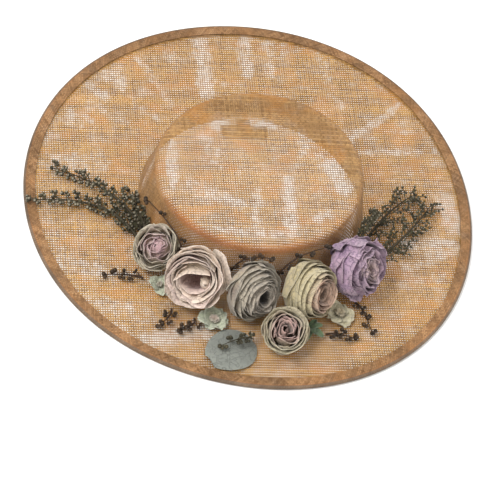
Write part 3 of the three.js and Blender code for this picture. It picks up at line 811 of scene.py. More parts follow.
def shapePetal(grid, petal, random):
    # Moves a flat grid's points onto one cupped petal round the flower's axis
    form = petalForm
    across, edge = grid[:, 0], np.abs(grid[:, 0])
    up = 1 - (1 - (grid[:, 1] + 1) / 2) ** form["rows"]
    phase = random.uniform(0, 6.28)
    middle = math.radians(petal["phi"])
    angle = middle + across * math.radians(petal["width"]) / 2
    angle = angle + petal["twist"] * up

    # Distance from the axis, and height
    body = np.sin(shareOf(up, *form["body"]) * math.pi / 2) ** 0.9
    share = petal["base"] + (1 - petal["base"]) * body - petal["cup"] * shareOf(up, *form["cup"]) ** 1.5
    top = petal["top"] - petal["drop"] * edge ** 2.4
    z = petal["bottom"] + (top - petal["bottom"]) * up ** 1.3
    r = petal["radius"] * share + petal["spiral"] * across

    # Rolled rim, ruffles and creases
    roll = shareOf(up, *form["roll"]) * math.radians(form["rollTurn"])
    r = r + petal["curl"] * (1 - np.cos(roll)) * (1 - 0.3 * edge)
    z = z + petal["curl"] * np.sin(roll) * 0.5 - petal["curl"] * 0.4 * (1 - np.cos(roll))
    wave = np.sin(across * math.pi * petal["waves"] + phase)
    r = r + petal["ruffle"] * wave * up ** 2
    z = z + 0.6 * petal["ruffle"] * np.cos(across * 5.1 + phase * 2) * up ** 3
    r = r + petal["crease"] * np.sin(across * 11 + phase * 3) * up * (1 - 0.4 * up)
    sides = form["rimSideShare"] * smoothstep(*form["rimSides"], edge) * up
    rim = np.maximum(smoothstep(*form["rimTop"], up), sides)
    x, y = r * np.cos(angle), r * np.sin(angle)
    if "flat" in petal:  # pulls the petal's arc towards a straight line across the flower
        along = x * math.cos(middle) + y * math.sin(middle)
        inward = petal["radius"] * petal["lean"] * shareOf(up, *form["lean"]) ** 1.5
        pull = (r - along) * petal["flat"] * up - inward
        x, y = x + pull * math.cos(middle), y + pull * math.sin(middle)
    dx, dy = petal["offset"]
    tiltX, tiltY = random.uniform(-1, 1, 2) * form["tilt"]
    return np.column_stack([x + dx, y + dy, z + tiltX * x + tiltY * y]), rim


def flowerTurn(spec):
    towards = math.radians(spec["bearing"])
    axis = Vector((-math.sin(towards), math.cos(towards), 0))
    lean = Matrix.Rotation(math.radians(spec["lean"]), 3, axis)
    return np.array(lean @ Matrix.Rotation(math.radians(spec["turn"]), 3, "Z"))


def wrinkles(point, size, place):
    # Coarse and finer wrinkles
    coarse, fine = Vector(point) / size + place, Vector(point) * 2.6 / size + place
    return noise.noise_vector(coarse) + 0.45 * noise.noise_vector(fine)


def buildFlower(name, spec, petals, material, nodes):
    random = np.random.default_rng(spec["seed"])
    base = petalSheet(*spec.get("grid", (9, 9)))
    grid = pointsOf(base.data)
    turn = flowerTurn(spec)
    made, lowest = [], 1e9
    for index, petal in enumerate(petals):
        copy = copySheet(base)
        points, rim = shapePetal(grid, petal, random)
        place = Vector((spec["seed"] * 9.1, index * 0.3, 0))
        crumple = np.array([wrinkles(point, spec["crumpleSize"], place) for point in points])
        keep = np.clip(np.linalg.norm(points, axis=1) / spec["radius"], 0.25, 1)
        points = points + crumple * spec["crumple"] * petal.get("calm", 1.0) * keep[:, None]
        points = points @ turn.T
        points[:, 2] *= spec["tall"]
        points[:, :2] += np.array((spec["x"], spec["y"])) + np.array(shift)
        lowest = min(lowest, points[:, 2].min())
        placePoints(copy.data, points)
        markPetal(copy, petal["layer"], random.uniform(0, 1), rim)
        made.append(copy)
    flower = joinPetals(name, base, made)
    points = pointsOf(flower.data)
    points[:, 2] += seat + 0.3 - lowest
    placePoints(flower.data, points * mm)
    thickenPetals(flower, 0.45)
    return finishPiece(flower, material, nodes, angle=80)


def layerPetals(spec, random):
    # One petal after another round the axis, layer by layer from outside in, then the flower's single petals
    radius, depth = spec["radius"], spec["depth"]
    rows, made = spec["layers"], []
    for index, row in enumerate(rows):
        start = random.uniform(0, 360)
        for k in range(row["petals"]):
            phi = start + 360 / row["petals"] * k + random.uniform(-15, 15)
            made.append(dict(row, phi=phi, layer=index / (len(rows) - 1)))
    made += spec.get("singles", [])
    return [dict(
        petal, width=petal["width"] * random.uniform(0.93, 1.08),
        radius=radius * petal["out"] * random.uniform(0.95, 1.02),
        bottom=radius * depth * petal.get("low", -0.58),
        top=radius * depth * (petal["up"] + random.uniform(-0.05, 0.05)),
        base=petal.get("base", 0.12 / petal["out"] if petal["out"] > 0.2 else 0.7),
        spiral=radius * petal["spiral"], drop=radius * petal["drop"], crease=radius * petal["crease"],
        ruffle=radius * petal["ruffle"] * random.uniform(0.7, 1.3),
        waves=random.uniform(1.1, 2.2), twist=random.uniform(-0.08, 0.08),
        offset=tuple(radius * way for way in petal.get("offset", (0, 0))),
    ) for petal in made]


def layerTable(rows):
    names = ("out", "up", "petals", "width", "cup", "curl", "spiral", "drop", "ruffle", "crease")
    return [dict(zip(names, row)) for row in rows]


def single(phi, width, out, up, cup, curl, layer, **others):
    petal = {"phi": phi, "width": width, "out": out, "up": up, "cup": cup, "curl": curl, "layer": layer,
             "spiral": 0.03, "drop": 0.1, "ruffle": 0.04, "crease": 0.012}
    return dict(petal, **others)


ribLayers = layerTable((  # a full flower with broad outer petals and a close coil in the middle
    (0.98, 0.10, 4, 128, -0.02, 1.2, 0.04, 0.22, 0.05, 0.010),
    (0.98, 0.34, 3, 160, 0.0, 0.7, 0.05, 0.12, 0.03, 0.008),
    (0.94, 0.52, 3, 165, 0.05, 0.6, 0.06, 0.09, 0.03, 0.008),
    (0.86, 0.66, 3, 165, 0.09, 0.6, 0.06, 0.07, 0.03, 0.008),
    (0.74, 0.76, 3, 160, 0.11, 0.7, 0.05, 0.07, 0.03, 0.008),
    (0.62, 0.81, 3, 160, 0.10, 0.8, 0.06, 0.07, 0.04, 0.012),
    (0.50, 0.82, 3, 150, 0.10, 0.8, 0.06, 0.07, 0.04, 0.012),
    (0.37, 0.80, 3, 150, 0.08, 0.7, 0.05, 0.06, 0.03, 0.010),
    (0.24, 0.76, 2, 210, 0.02, 0.5, 0.03, 0.04, 0.02, 0.006),
))
thinLayers = layerTable((  # many thin layers round a dark hole
    (0.98, 0.08, 5, 110, -0.03, 1.2, 0.05, 0.25, 0.06, 0.02),
    (0.98, 0.30, 4, 130, 0.0, 0.9, 0.06, 0.16, 0.05, 0.02),
    (0.94, 0.44, 4, 132, 0.03, 0.8, 0.07, 0.13, 0.05, 0.018),
    (0.88, 0.55, 4, 134, 0.06, 0.8, 0.07, 0.12, 0.045, 0.018),
    (0.80, 0.64, 4, 136, 0.08, 0.7, 0.07, 0.10, 0.045, 0.016),
    (0.71, 0.71, 4, 136, 0.09, 0.7, 0.06, 0.09, 0.04, 0.014),
    (0.62, 0.76, 4, 140, 0.09, 0.6, 0.06, 0.07, 0.035, 0.012),
    (0.53, 0.79, 3, 160, 0.09, 0.6, 0.05, 0.06, 0.03, 0.010),
    (0.45, 0.80, 3, 160, 0.09, 0.5, 0.05, 0.05, 0.025, 0.010),
    (0.37, 0.80, 3, 160, 0.07, 0.5, 0.04, 0.04, 0.02, 0.008),
    (0.29, 0.78, 3, 160, 0.02, 0.5, 0.03, 0.03, 0.015, 0.006),
))
wrapLayers = layerTable((  # tall crumpled outer petals wrapped round a small coil
    (0.98, 0.10, 4, 128, -0.02, 1.2, 0.04, 0.22, 0.06, 0.03),
    (0.99, 0.36, 3, 165, -0.02, 0.9, 0.06, 0.16, 0.07, 0.045),
    (0.97, 0.80, 3, 180, 0.10, 1.0, 0.08, 0.10, 0.08, 0.055),
    (0.84, 0.87, 3, 165, 0.16, 0.9, 0.07, 0.10, 0.06, 0.03),
    (0.64, 0.90, 3, 160, 0.14, 0.8, 0.06, 0.08, 0.05, 0.02),
    (0.50, 0.91, 3, 160, 0.12, 0.7, 0.05, 0.06, 0.04, 0.015),
    (0.36, 0.90, 3, 160, 0.10, 0.6, 0.04, 0.05, 0.03, 0.010),
    (0.23, 0.87, 2, 220, 0.02, 0.5, 0.02, 0.03, 0.02, 0.006),
))
cupLayers = layerTable((  # a wide cup of thick rolled rims, its middle filled by single petals
    (0.98, 0.12, 4, 128, -0.03, 1.6, 0.04, 0.22, 0.05, 0.012),
    (0.99, 0.40, 3, 160, -0.02, 1.5, 0.06, 0.16, 0.05, 0.012),
    (0.97, 0.62, 3, 155, 0.02, 1.9, 0.07, 0.10, 0.05, 0.012),
    (0.86, 0.68, 3, 150, 0.03, 1.8, 0.09, 0.10, 0.05, 0.012),
))
budLayers = layerTable((  # a crumpled flower whose broad inner petals lean over its middle
    (0.98, 0.12, 4, 128, -0.02, 1.2, 0.04, 0.22, 0.05, 0.02),
    (0.99, 0.40, 4, 130, 0.0, 1.1, 0.06, 0.16, 0.05, 0.02),
    (0.95, 0.55, 4, 130, 0.06, 1.1, 0.07, 0.12, 0.05, 0.02),
    (0.86, 0.62, 3, 150, 0.14, 1.1, 0.08, 0.10, 0.06, 0.02),
    (0.76, 0.64, 3, 145, 0.26, 1.0, 0.09, 0.10, 0.08, 0.03),
    (0.60, 0.66, 3, 140, 0.36, 1.0, 0.09, 0.10, 0.08, 0.03),
    (0.44, 0.67, 3, 140, 0.44, 0.9, 0.07, 0.08, 0.07, 0.03),
    (0.27, 0.68, 2, 200, 0.50, 0.7, 0.04, 0.06, 0.04, 0.02),
))
nestLayers = budLayers[:3] + layerTable((  # an open flower with a crumpled hollow middle
    (0.86, 0.62, 3, 150, 0.12, 1.1, 0.08, 0.10, 0.06, 0.02),
    (0.76, 0.63, 3, 145, 0.22, 1.0, 0.09, 0.10, 0.07, 0.03),
    (0.60, 0.62, 3, 140, 0.24, 1.0, 0.09, 0.10, 0.08, 0.03),
    (0.45, 0.60, 3, 140, 0.20, 0.9, 0.07, 0.08, 0.06, 0.03),
    (0.31, 0.58, 2, 190, 0.12, 0.7, 0.05, 0.06, 0.04, 0.02),
))
ball = {
    "base": 0.7, "low": 0.07, "offset": (0.24, -0.36), "drop": 0.0, "ruffle": 0.0, "crease": 0.0, "calm": 0.1,
}
roses = {
    "sage": {
        "x": -64.5, "y": -93.6, "radius": 16.8, "depth": 1.08, "tall": 1.12,
        "lean": 32, "bearing": 266, "turn": 10,
        "seed": 3, "layers": budLayers, "crumple": 2.5, "crumpleSize": 7, "grid": (12, 10),
        "singles": [
            single(20, 200, 0.78, 0.60, 0.96, 0.1, 0.9, base=0.9, drop=0.0, ruffle=0.0),
            single(200, 200, 0.78, 0.60, 0.96, 0.1, 0.9, base=0.9, drop=0.0, ruffle=0.0),
        ],
        "look": {"outer": (0.45, 0.385, 0.24, 1), "inner": (0.73, 0.60, 0.48, 1), "from": 0.3, "to": 0.8,
                 "spot": (0.44, 0.29, 0.32, 1), "blotch": 0.45, "vein": 0.4, "crease": (0.21, 0.165, 0.12, 1),
                 "rim": (0.58, 0.53, 0.43, 1), "innerRim": (0.45, 0.25, 0.33, 1), "rimShare": 0.6,
                 "deep": (0.30, 0.23, 0.18, 1), "depth": 0.5},
    },
    "blush": {
        "x": -26.5, "y": -113, "radius": 21.6, "depth": 1.36, "tall": 1.1,
        "lean": 62, "bearing": 266, "turn": 40,
        "seed": 8, "layers": cupLayers, "crumple": 2.3, "crumpleSize": 10,
        "singles": [
            single(66, 130, 0.93, 0.62, 0.03, 1.3, 0.4, flat=0.35, lean=0.3, drop=0.03, ruffle=0.02,
                   calm=0.6),
            single(72, 120, 0.76, 0.56, 0.03, 1.2, 0.4, flat=0.55, lean=0.72, drop=0.0, ruffle=0.02,
                   crease=0.0, calm=0.5),
            single(140, 110, 0.78, 0.60, 0.04, 1.1, 0.5),
            single(152, 120, 0.66, 0.54, 0.06, 0.9, 0.7),
            single(172, 120, 0.55, 0.48, 0.05, 0.8, 0.9),
            single(225, 130, 0.78, 0.58, 0.03, 1.2, 0.5),
            single(246, 150, 0.68, 0.52, 0.05, 1.1, 0.7),
            single(262, 150, 0.58, 0.42, 0.06, 0.9, 0.95),
            single(300, 130, 0.80, 0.62, 0.03, 1.3, 0.4),
            single(325, 140, 0.66, 0.58, 0.05, 1.2, 0.5),
            single(20, 200, 0.22, 0.40, 0.97, 0.03, 0.3, **ball),
            single(200, 200, 0.22, 0.40, 0.97, 0.03, 0.3, **ball),
            single(352, 74, 1.02, 0.34, -0.30, 1.3, 0.1, drop=0.04),
        ],
        "grid": (12, 10),
        "look": {"outer": (0.675, 0.56, 0.42, 1), "inner": (0.50, 0.32, 0.30, 1), "from": 0.6, "to": 0.95,
                 "spot": (0.62, 0.47, 0.42, 1), "blotch": 0.4, "vein": 0.3, "crease": (0.40, 0.30, 0.22, 1),
                 "rim": (0.83, 0.69, 0.59, 1), "rimShare": 0.7, "deep": (0.36, 0.215, 0.19, 1), "depth": 0.5},
    },
    "grey": {
        "x": 20, "y": -113.6, "radius": 22.4, "depth": 1, "tall": 1.1,
        "lean": 70, "bearing": 322, "turn": 75,
        "seed": 5, "layers": thinLayers, "crumple": 2.0, "crumpleSize": 8,
        "look": {"outer": (0.33, 0.27, 0.195, 1), "inner": (0.40, 0.31, 0.26, 1), "from": 0.2, "to": 0.9,
                 "spot": (0.28, 0.2, 0.2, 1), "blotch": 0.35, "vein": 0.4, "folds": 0.4,
                 "crease": (0.14, 0.12, 0.09, 1), "rim": (0.44, 0.40, 0.32, 1), "rimShare": 0.6,
                 "deep": (0.04, 0.032, 0.025, 1), "depth": 0.85, "hole": 1.0},
    },
    "cream": {
        "x": 62.8, "y": -96.6, "radius": 22.8, "depth": 1.1, "tall": 1.07,
        "lean": 66, "bearing": 335, "turn": 20,
        "seed": 12, "layers": ribLayers, "crumple": 1.3, "crumpleSize": 11,
        "look": {"outer": (0.475, 0.395, 0.22, 1), "inner": (0.51, 0.31, 0.22, 1), "from": 0.42, "to": 0.66,
                 "spot": (0.47, 0.38, 0.28, 1), "blotch": 0.3, "vein": 0.3, "crease": (0.27, 0.24, 0.13, 1),
                 "rim": (0.52, 0.46, 0.31, 1), "innerRim": (0.58, 0.42, 0.33, 1), "rimShare": 0.5,
                 "deep": (0.1, 0.07, 0.055, 1), "depth": 0.85, "hole": 0.7},
    },
    "lilac": {
        "x": 94.4, "y": -62.4, "radius": 22.8, "depth": 1.05, "tall": 1.07,
        "lean": 58, "bearing": 338, "turn": 60,
        "seed": 21, "layers": wrapLayers, "crumple": 3.4, "crumpleSize": 8, "grid": (15, 12),
        "singles": [
            single(15, 50, 0.97, 0.80, 0.0, 2.2, 0.3, drop=0.05),
            single(250, 70, 1.0, 0.30, -0.12, 1.5, 0.3, drop=0.05),
        ],
        "look": {"outer": (0.405, 0.27, 0.365, 1), "inner": (0.51, 0.385, 0.285, 1), "from": 0.5, "to": 0.8,
                 "spot": (0.19, 0.12, 0.225, 1), "blotch": 0.55, "vein": 0.5, "folds": 0.55,
                 "crease": (0.14, 0.085, 0.16, 1), "rim": (0.45, 0.33, 0.38, 1), "rimShare": 0.55,
                 "deep": (0.08, 0.045, 0.09, 1), "depth": 0.7},
    },
    "mauve": {
        "x": 54.3, "y": -136.2, "radius": 17.2, "depth": 1.08, "tall": 1.05,
        "lean": 26, "bearing": 279, "turn": 30,
        "seed": 17, "layers": nestLayers, "crumple": 2.2, "crumpleSize": 8,
        "singles": [
            single(150, 200, 0.36, 0.50, 0.75, 0.5, 0.7, base=0.9, drop=0.0, ruffle=0.03),
            single(330, 150, 0.30, 0.36, 0.95, 0.3, 0.8, base=0.9, drop=0.0, ruffle=0.03),
        ],
        "look": {"outer": (0.43, 0.385, 0.235, 1), "inner": (0.52, 0.38, 0.305, 1), "from": 0.35, "to": 0.75,
                 "spot": (0.50, 0.35, 0.31, 1), "blotch": 0.35, "vein": 0.35, "crease": (0.22, 0.18, 0.12, 1),
                 "rim": (0.63, 0.555, 0.42, 1), "innerRim": (0.53, 0.32, 0.31, 1), "rimShare": 0.5,
                 "deep": (0.20, 0.14, 0.11, 1), "depth": 0.6, "hole": 0.8},
    },
}

for name, spec in roses.items():
    petals = layerPetals(spec, np.random.default_rng(spec["seed"] + 100))
    material = petalMaterial(name + "Petals", spec["look"])
    buildFlower(name + "Rose", spec, petals, material, ["rose_" + name])
print("roses ready")


# Flat petals and leaves
def shapeLeaf(grid, leaf, random):
    # Moves a flat grid's points onto one leaf that starts at the origin along +X
    across, up = grid[:, 0], (grid[:, 1] + 1) / 2
    wide = np.sin(math.pi * (0.05 + 0.9 * up ** leaf.get("fat", 1.0))) ** leaf.get("blunt", 0.6)
    half = leaf["width"] / 2 * wide
    phase = random.uniform(0, 6.28)
    x = leaf["length"] * (up - leaf.get("notch", 0.0) * (1 - np.abs(across)) ** 2 * up ** 6)
    y = across * half
    z = leaf["arch"] * leaf["length"] * np.sin(math.pi * up) + leaf["cup"] * half * across ** 2
    z = z + leaf["ruffle"] * np.sin(across * 4 + phase) * up ** 1.5
    z = z + 0.6 * leaf["ruffle"] * np.sin(up * 7 + phase * 2) * across
    z = z - leaf.get("groove", 0) * np.exp(-(across / 0.12) ** 2)
    rim = np.maximum(smoothstep(0.8, 1.0, up), smoothstep(0.75, 1.0, np.abs(across)))
    return np.column_stack([x, y, z]), rim


def buildLeaves(name, leaves, spec, material, node):
    random = np.random.default_rng(spec["seed"])
    base = petalSheet(*spec.get("grid", (6, 8)))
    grid = pointsOf(base.data)
    made = []
    for leaf in leaves:
        copy = copySheet(base)
        points, rim = shapeLeaf(grid, leaf, random)
        bearing = Matrix.Rotation(math.radians(leaf["bearing"]), 3, "Z")
        spin = bearing @ Matrix.Rotation(-math.radians(leaf["pitch"]), 3, "Y")
        points = points @ np.array(spin).T + np.array(leaf["at"]) + np.array((shift.x, shift.y, 0))
        points[:, 2] = np.maximum(points[:, 2], seat + 0.35)
        placePoints(copy.data, points * mm)
        markPetal(copy, leaf["layer"], random.uniform(0, 1), rim)
        made.append(copy)
    piece = joinPetals(name, base, made)
    thickenPetals(piece, 0.4)
    return finishPiece(piece, material, [node], angle=80)


floretLook = {
    "outer": (0.46, 0.49, 0.36, 1), "inner": (0.50, 0.40, 0.33, 1), "from": 0.4, "to": 0.9,
    "spot": (0.55, 0.55, 0.44, 1), "blotch": 0.4, "vein": 0.25, "crease": (0.30, 0.34, 0.22, 1),
    "rim": (0.62, 0.64, 0.52, 1), "rimShare": 0.4, "deep": (0.25, 0.22, 0.15, 1), "depth": 0.45,
}
leafLook = dict(
    floretLook, outer=(0.20, 0.21, 0.185, 1), inner=(0.20, 0.21, 0.185, 1), spot=(0.26, 0.27, 0.235, 1),
    crease=(0.14, 0.15, 0.125, 1), rim=(0.27, 0.28, 0.24, 1), deep=(0.13, 0.13, 0.11, 1), depth=0.2,
)
greenLook = dict(
    leafLook, outer=(0.10, 0.15, 0.075, 1), inner=(0.10, 0.15, 0.075, 1), spot=(0.16, 0.22, 0.12, 1),
    crease=(0.06, 0.09, 0.045, 1), rim=(0.2, 0.26, 0.15, 1), deep=(0.05, 0.07, 0.035, 1),
)
creamLook = dict(
    floretLook, outer=(0.52, 0.47, 0.31, 1), inner=(0.46, 0.38, 0.25, 1), spot=(0.58, 0.53, 0.38, 1),
    crease=(0.34, 0.30, 0.19, 1), rim=(0.64, 0.59, 0.45, 1),
)
florets = {
    "mint": {"x": -3, "y": -136, "radius": 14, "petals": 6, "bearing": 12, "seed": 4, "pitch": 12,
             "wide": 1.1, "look": floretLook},
    "left": {"x": -53.5, "y": -116.5, "radius": 11.5, "petals": 3, "bearing": 188, "seed": 6, "pitch": 18,
             "wide": 1.15, "look": floretLook},
    "right": {"x": 95, "y": -96, "radius": 14, "petals": 5, "bearing": 300, "seed": 9, "pitch": 12,
              "wide": 1.2, "look": creamLook},
}
for name, spec in florets.items():
    leaves, random = [], np.random.default_rng(spec["seed"] + 50)
    for k in range(spec["petals"] * 2):  # the second half are small raised petals in the middle
        inner = k >= spec["petals"]
        size = spec["radius"] * (0.45 if inner else random.uniform(0.82, 1.06))
        turn = 360 / spec["petals"] * (k + (0.5 if inner else 0))
        leaves.append({
            "at": (spec["x"], spec["y"], seat + 0.6 + (1.2 if inner else 0)),
            "length": size, "width": size * spec["wide"], "ruffle": 0.13 * size,
            "bearing": spec["bearing"] + turn + random.uniform(-9, 9),
            "pitch": spec["pitch"] * random.uniform(0.5, 1.8) + (38 if inner else 0),
            "arch": 0.05, "cup": 0.25, "fat": 0.8, "blunt": 0.55, "notch": 0.06,
            "layer": 1.0 if inner else 0.0,
        })
    material = petalMaterial(name + "Petals", spec["look"])
    buildLeaves(name + "Floret", leaves, spec, material, "floret_" + name)
roundLeaf = {
    "at": (31, -143.5, seat + 1.2), "length": 43, "width": 40, "bearing": 228, "pitch": 3, "arch": 0.05,
    "cup": -0.12, "ruffle": 0.8, "fat": 0.9, "blunt": 0.55, "groove": 0.5, "layer": 0,
}
buildLeaves("roundLeaf", [roundLeaf], {"seed": 2, "grid": (10, 12)}, petalMaterial("greyLeaf", leafLook),
            "leaf_round")
pairShapes = (  # length, width, bearing, pitch
    (15, 7, 268, 12), (14, 7, 332, 10), (10, 6, 300, 35), (9, 5, 235, 30), (11, 6, 20, 25), (9, 6, 60, 40),
)
pairLeaves = [
    {"at": (74, -117, seat + 1.5), "length": length, "width": width, "bearing": bearing, "pitch": pitch,
     "arch": 0.1, "cup": 0.25, "ruffle": 0.5, "groove": 0.4, "layer": 0}
    for length, width, bearing, pitch in pairShapes
]
buildLeaves("greenLeaves", pairLeaves, {"seed": 5}, petalMaterial("greenLeaf", greenLook), "leaf_pair")
print("florets and leaves ready")


# Sprigs and sprays
class Bunch:
    # Gathers the points and faces of many small shapes for one mesh
    def __init__(self):
        self.points, self.faces, self.marks, self.count = [], [], [], 0

    def add(self, points, faces, marks):
        self.points.append(points)
        self.faces += [tuple(corner + self.count for corner in face) for face in faces]
        self.marks.append(marks)
        self.count += len(points)

    def tube(self, path, start, end, sides, tone):
        path = np.asarray(path, float)
        ways = np.gradient(path, axis=0)
        ways /= np.linalg.norm(ways, axis=1)[:, None]
        side = np.cross(ways, (0.13, 0.21, 1.0))
        side /= np.linalg.norm(side, axis=1)[:, None]
        over = np.cross(side, ways)
        radii = np.linspace(start, end, len(path))
        turns = np.arange(sides) / sides * 2 * math.pi
        cosines, sines = np.cos(turns)[None, :, None], np.sin(turns)[None, :, None]
        ring = side[:, None, :] * cosines + over[:, None, :] * sines
        points = (path[:, None, :] + ring * radii[:, None, None]).reshape(-1, 3)
        last = (len(path) - 1) * sides
        faces = [(i + k, i + (k + 1) % sides, i + sides + (k + 1) % sides, i + sides + k)
                 for i in range(0, last, sides) for k in range(sides)]
        faces += [tuple(reversed(range(sides))), tuple(last + k for k in range(sides))]
        self.add(points, faces, np.tile((tone, 0, 0.5), (len(points), 1)))

    def stamp(self, shape, place, way, size, tone):
        points, faces, marks = shape
        turn = np.array(Vector(way).to_track_quat("Z", "Y").to_matrix())
        marks = marks.copy()
        marks[:, 0] = tone
        self.add(points * size @ turn.T + place, faces, marks)

    def piece(self, name):
        mesh = bpy.data.meshes.new(name)
        mesh.from_pydata((np.vstack(self.points) * mm).tolist(), [], self.faces)
        markPoints(mesh, "sprigMarks", np.vstack(self.marks))
        made = bpy.data.objects.new(name, mesh)
        bpy.context.collection.objects.link(made)
        activate(made)
        bpy.ops.object.mode_set(mode="EDIT")
        bpy.ops.mesh.select_all(action="SELECT")
        bpy.ops.mesh.normals_make_consistent(inside=False)
        bpy.ops.object.mode_set(mode="OBJECT")
        return made


def takeShape(mark):
    # Points, faces and marks of the active object, which is then removed
    made = bpy.context.object
    points = pointsOf(made.data)
    faces = [tuple(face.vertices) for face in made.data.polygons]
    activate(made)
    bpy.ops.object.delete()
    return points, faces, np.column_stack([np.zeros(len(points)), mark(points), np.zeros(len(points))])


def beadShape():
    # Berry with a dimple at its far end
    deselect()
    bpy.ops.mesh.primitive_uv_sphere_add(segments=8, ring_count=6, radius=1)
    bead = bpy.context.object
    points = pointsOf(bead.data)
    points[points[:, 2] > 0.95, 2] = 0.5
    placePoints(bead.data, points)
    return takeShape(lambda p: (p[:, 2] > 0) * (1 - smoothstep(0.2, 0.7, np.hypot(p[:, 0], p[:, 1]))))


def leafletShape():
    # Small folded leaf that grows along +Z
    deselect()
    bpy.ops.mesh.primitive_grid_add(x_subdivisions=2, y_subdivisions=3, size=2)
    leaf = bpy.context.object
    points = pointsOf(leaf.data)
    up = (points[:, 1] + 1) / 2
    half = 0.24 * np.sin(math.pi * (0.08 + 0.84 * up)) ** 0.8
    fold = 0.12 * np.abs(points[:, 0])
    placePoints(leaf.data, np.column_stack([points[:, 0] * half, fold + 0.15 * up ** 2, up]))
    applyModifier(leaf, "SOLIDIFY", thickness=0.05, offset=0)
    made = takeShape(lambda p: np.zeros(len(p)))
    made[2][:, 2] = 1
    return made


bead, leaflet = beadShape(), leafletShape()


def sprigMaterial(name, look):
    # Marks of a sprig: red is a shape's own tone, green a berry's pale dimple, partly a painted highlight,
    # blue 1 for leaf and 0.5 for stem
    material, graph, shader = newMaterial(name, roughness=0.6, specular=0.25)
    coords = objectMillimetres(graph)
    tone, dimpleHighlight, kind = graph.marks("sprigMarks")
    body = graph.mix(graph.range(tone, 0, 1, smooth=False), look["dark"], look["light"])
    body = graph.mix(graph.range(kind, 0.3, 0.5), body, look["stem"])
    body = graph.mix(graph.range(kind, 0.7, 1.0), body, graph.mix(tone, look["leaf"], look["leafTip"]))
    # Pale dimple at each berry's far end, partly a painted highlight
    body = graph.mix(graph.math("MULTIPLY", dimpleHighlight, look["dimpleHighlight"]), body, look["pale"])
    fibre = useGroup(graph, clothFibre, Vector=coords, Size=0.5)
    body = graph.mix(graph.range(fibre["Mottle"], 0.4, 0.7, 0.0, 0.05), body, look["pale"])
    graph.put(shader["Base Color"], body)
    addBump(graph, shader, fibre["Height"], 0.25, 0.7)
    return material


greenBerries = {
    "dark": (0.014, 0.012, 0.006, 1), "light": (0.07, 0.056, 0.03, 1), "stem": (0.03, 0.022, 0.01, 1),
    "leaf": (0.016, 0.015, 0.007, 1), "leafTip": (0.07, 0.064, 0.032, 1), "pale": (0.44, 0.39, 0.29, 1),
    "dimpleHighlight": 0.8,
}
brownBerries = dict(
    greenBerries, dark=(0.010, 0.006, 0.003, 1), light=(0.042, 0.025, 0.013, 1),
    stem=(0.034, 0.017, 0.009, 1), leaf=(0.04, 0.03, 0.015, 1), leafTip=(0.1, 0.08, 0.04, 1),
    pale=(0.14, 0.09, 0.055, 1), dimpleHighlight=0.5,
)
leafBerries = dict(greenBerries, light=(0.06, 0.05, 0.028, 1), pale=(0.2, 0.18, 0.12, 1), dimpleHighlight=0.3)
berries = {
    "green": (sprigMaterial("greenBerry", greenBerries), "sprig_green"),
    "brown": (sprigMaterial("brownBerry", brownBerries), "spray_brown"),
    "leaf": (sprigMaterial("leafBerry", leafBerries), "sprig_green"),
}


def bendThrough(root, middle, tip, count):
    # Smooth path through three points
    t = np.linspace(0, 1, count)[:, None]
    root, middle, tip = (np.asarray(p, float) for p in (root, middle, tip))
    return root * (2 * t - 1) * (t - 1) + middle * 4 * t * (1 - t) + tip * t * (2 * t - 1)


def growTwig(bunch, place, way, length, share, spec, random):
    rise = random.uniform(-0.1, spec["rise"]) * length
    end = place + way * length + np.array((0, 0, rise))
    sway = (random.uniform(-0.4, 0.4), random.uniform(-0.4, 0.4), random.uniform(0, 0.8))
    bow = (place + end) / 2 + np.array(sway)
    low = seat + spec["bead"]
    end[2], bow[2] = max(end[2], low), max(bow[2], seat + 0.6)
    path = bendThrough(place, bow, end, 5)
    aside = np.cross(way, (0, 0, 1))
    bunch.tube(path, spec["twig"], 0.28, 4, random.uniform(0, 1))
    for k in range(spec["beads"]):  # the first at the twig's end, the others on stalks beside it
        at = path[4 - k]
        spot = at.copy()
        if k:
            spot = at + aside * random.choice((-1, 1)) * spec["bead"] * random.uniform(1.1, 1.7)
        spot[2] = max(spot[2] + random.uniform(-0.3, 0.6), low)
        if k:
            bunch.tube(np.array((at, (at + spot) / 2, spot)), 0.26, 0.22, 3, 0.4)
        face = way * 0.6 + np.array((0, -0.25, 0.75)) + random.uniform(-0.4, 0.4, 3)
        size = spec["bead"] * (0.72 + 0.28 * min(1.0, share * 1.6)) * random.uniform(0.85, 1.08)
        bunch.stamp(bead, spot, face, size, random.uniform(0, 1) * (0.35 + 0.65 * share))
    for k in range(round(spec["leaves"] * (1.15 - share))):
        side = aside * (1 if k % 2 else -1)
        face = way * random.uniform(0.3, 1.0) + side * random.uniform(0.3, 1.1)
        face[2] += random.uniform(-0.1, 0.8)
        size = spec["leaf"] * random.uniform(0.7, 1.15)
        bunch.stamp(leaflet, path[1 + k % 4], face, size, random.uniform(0, 1))


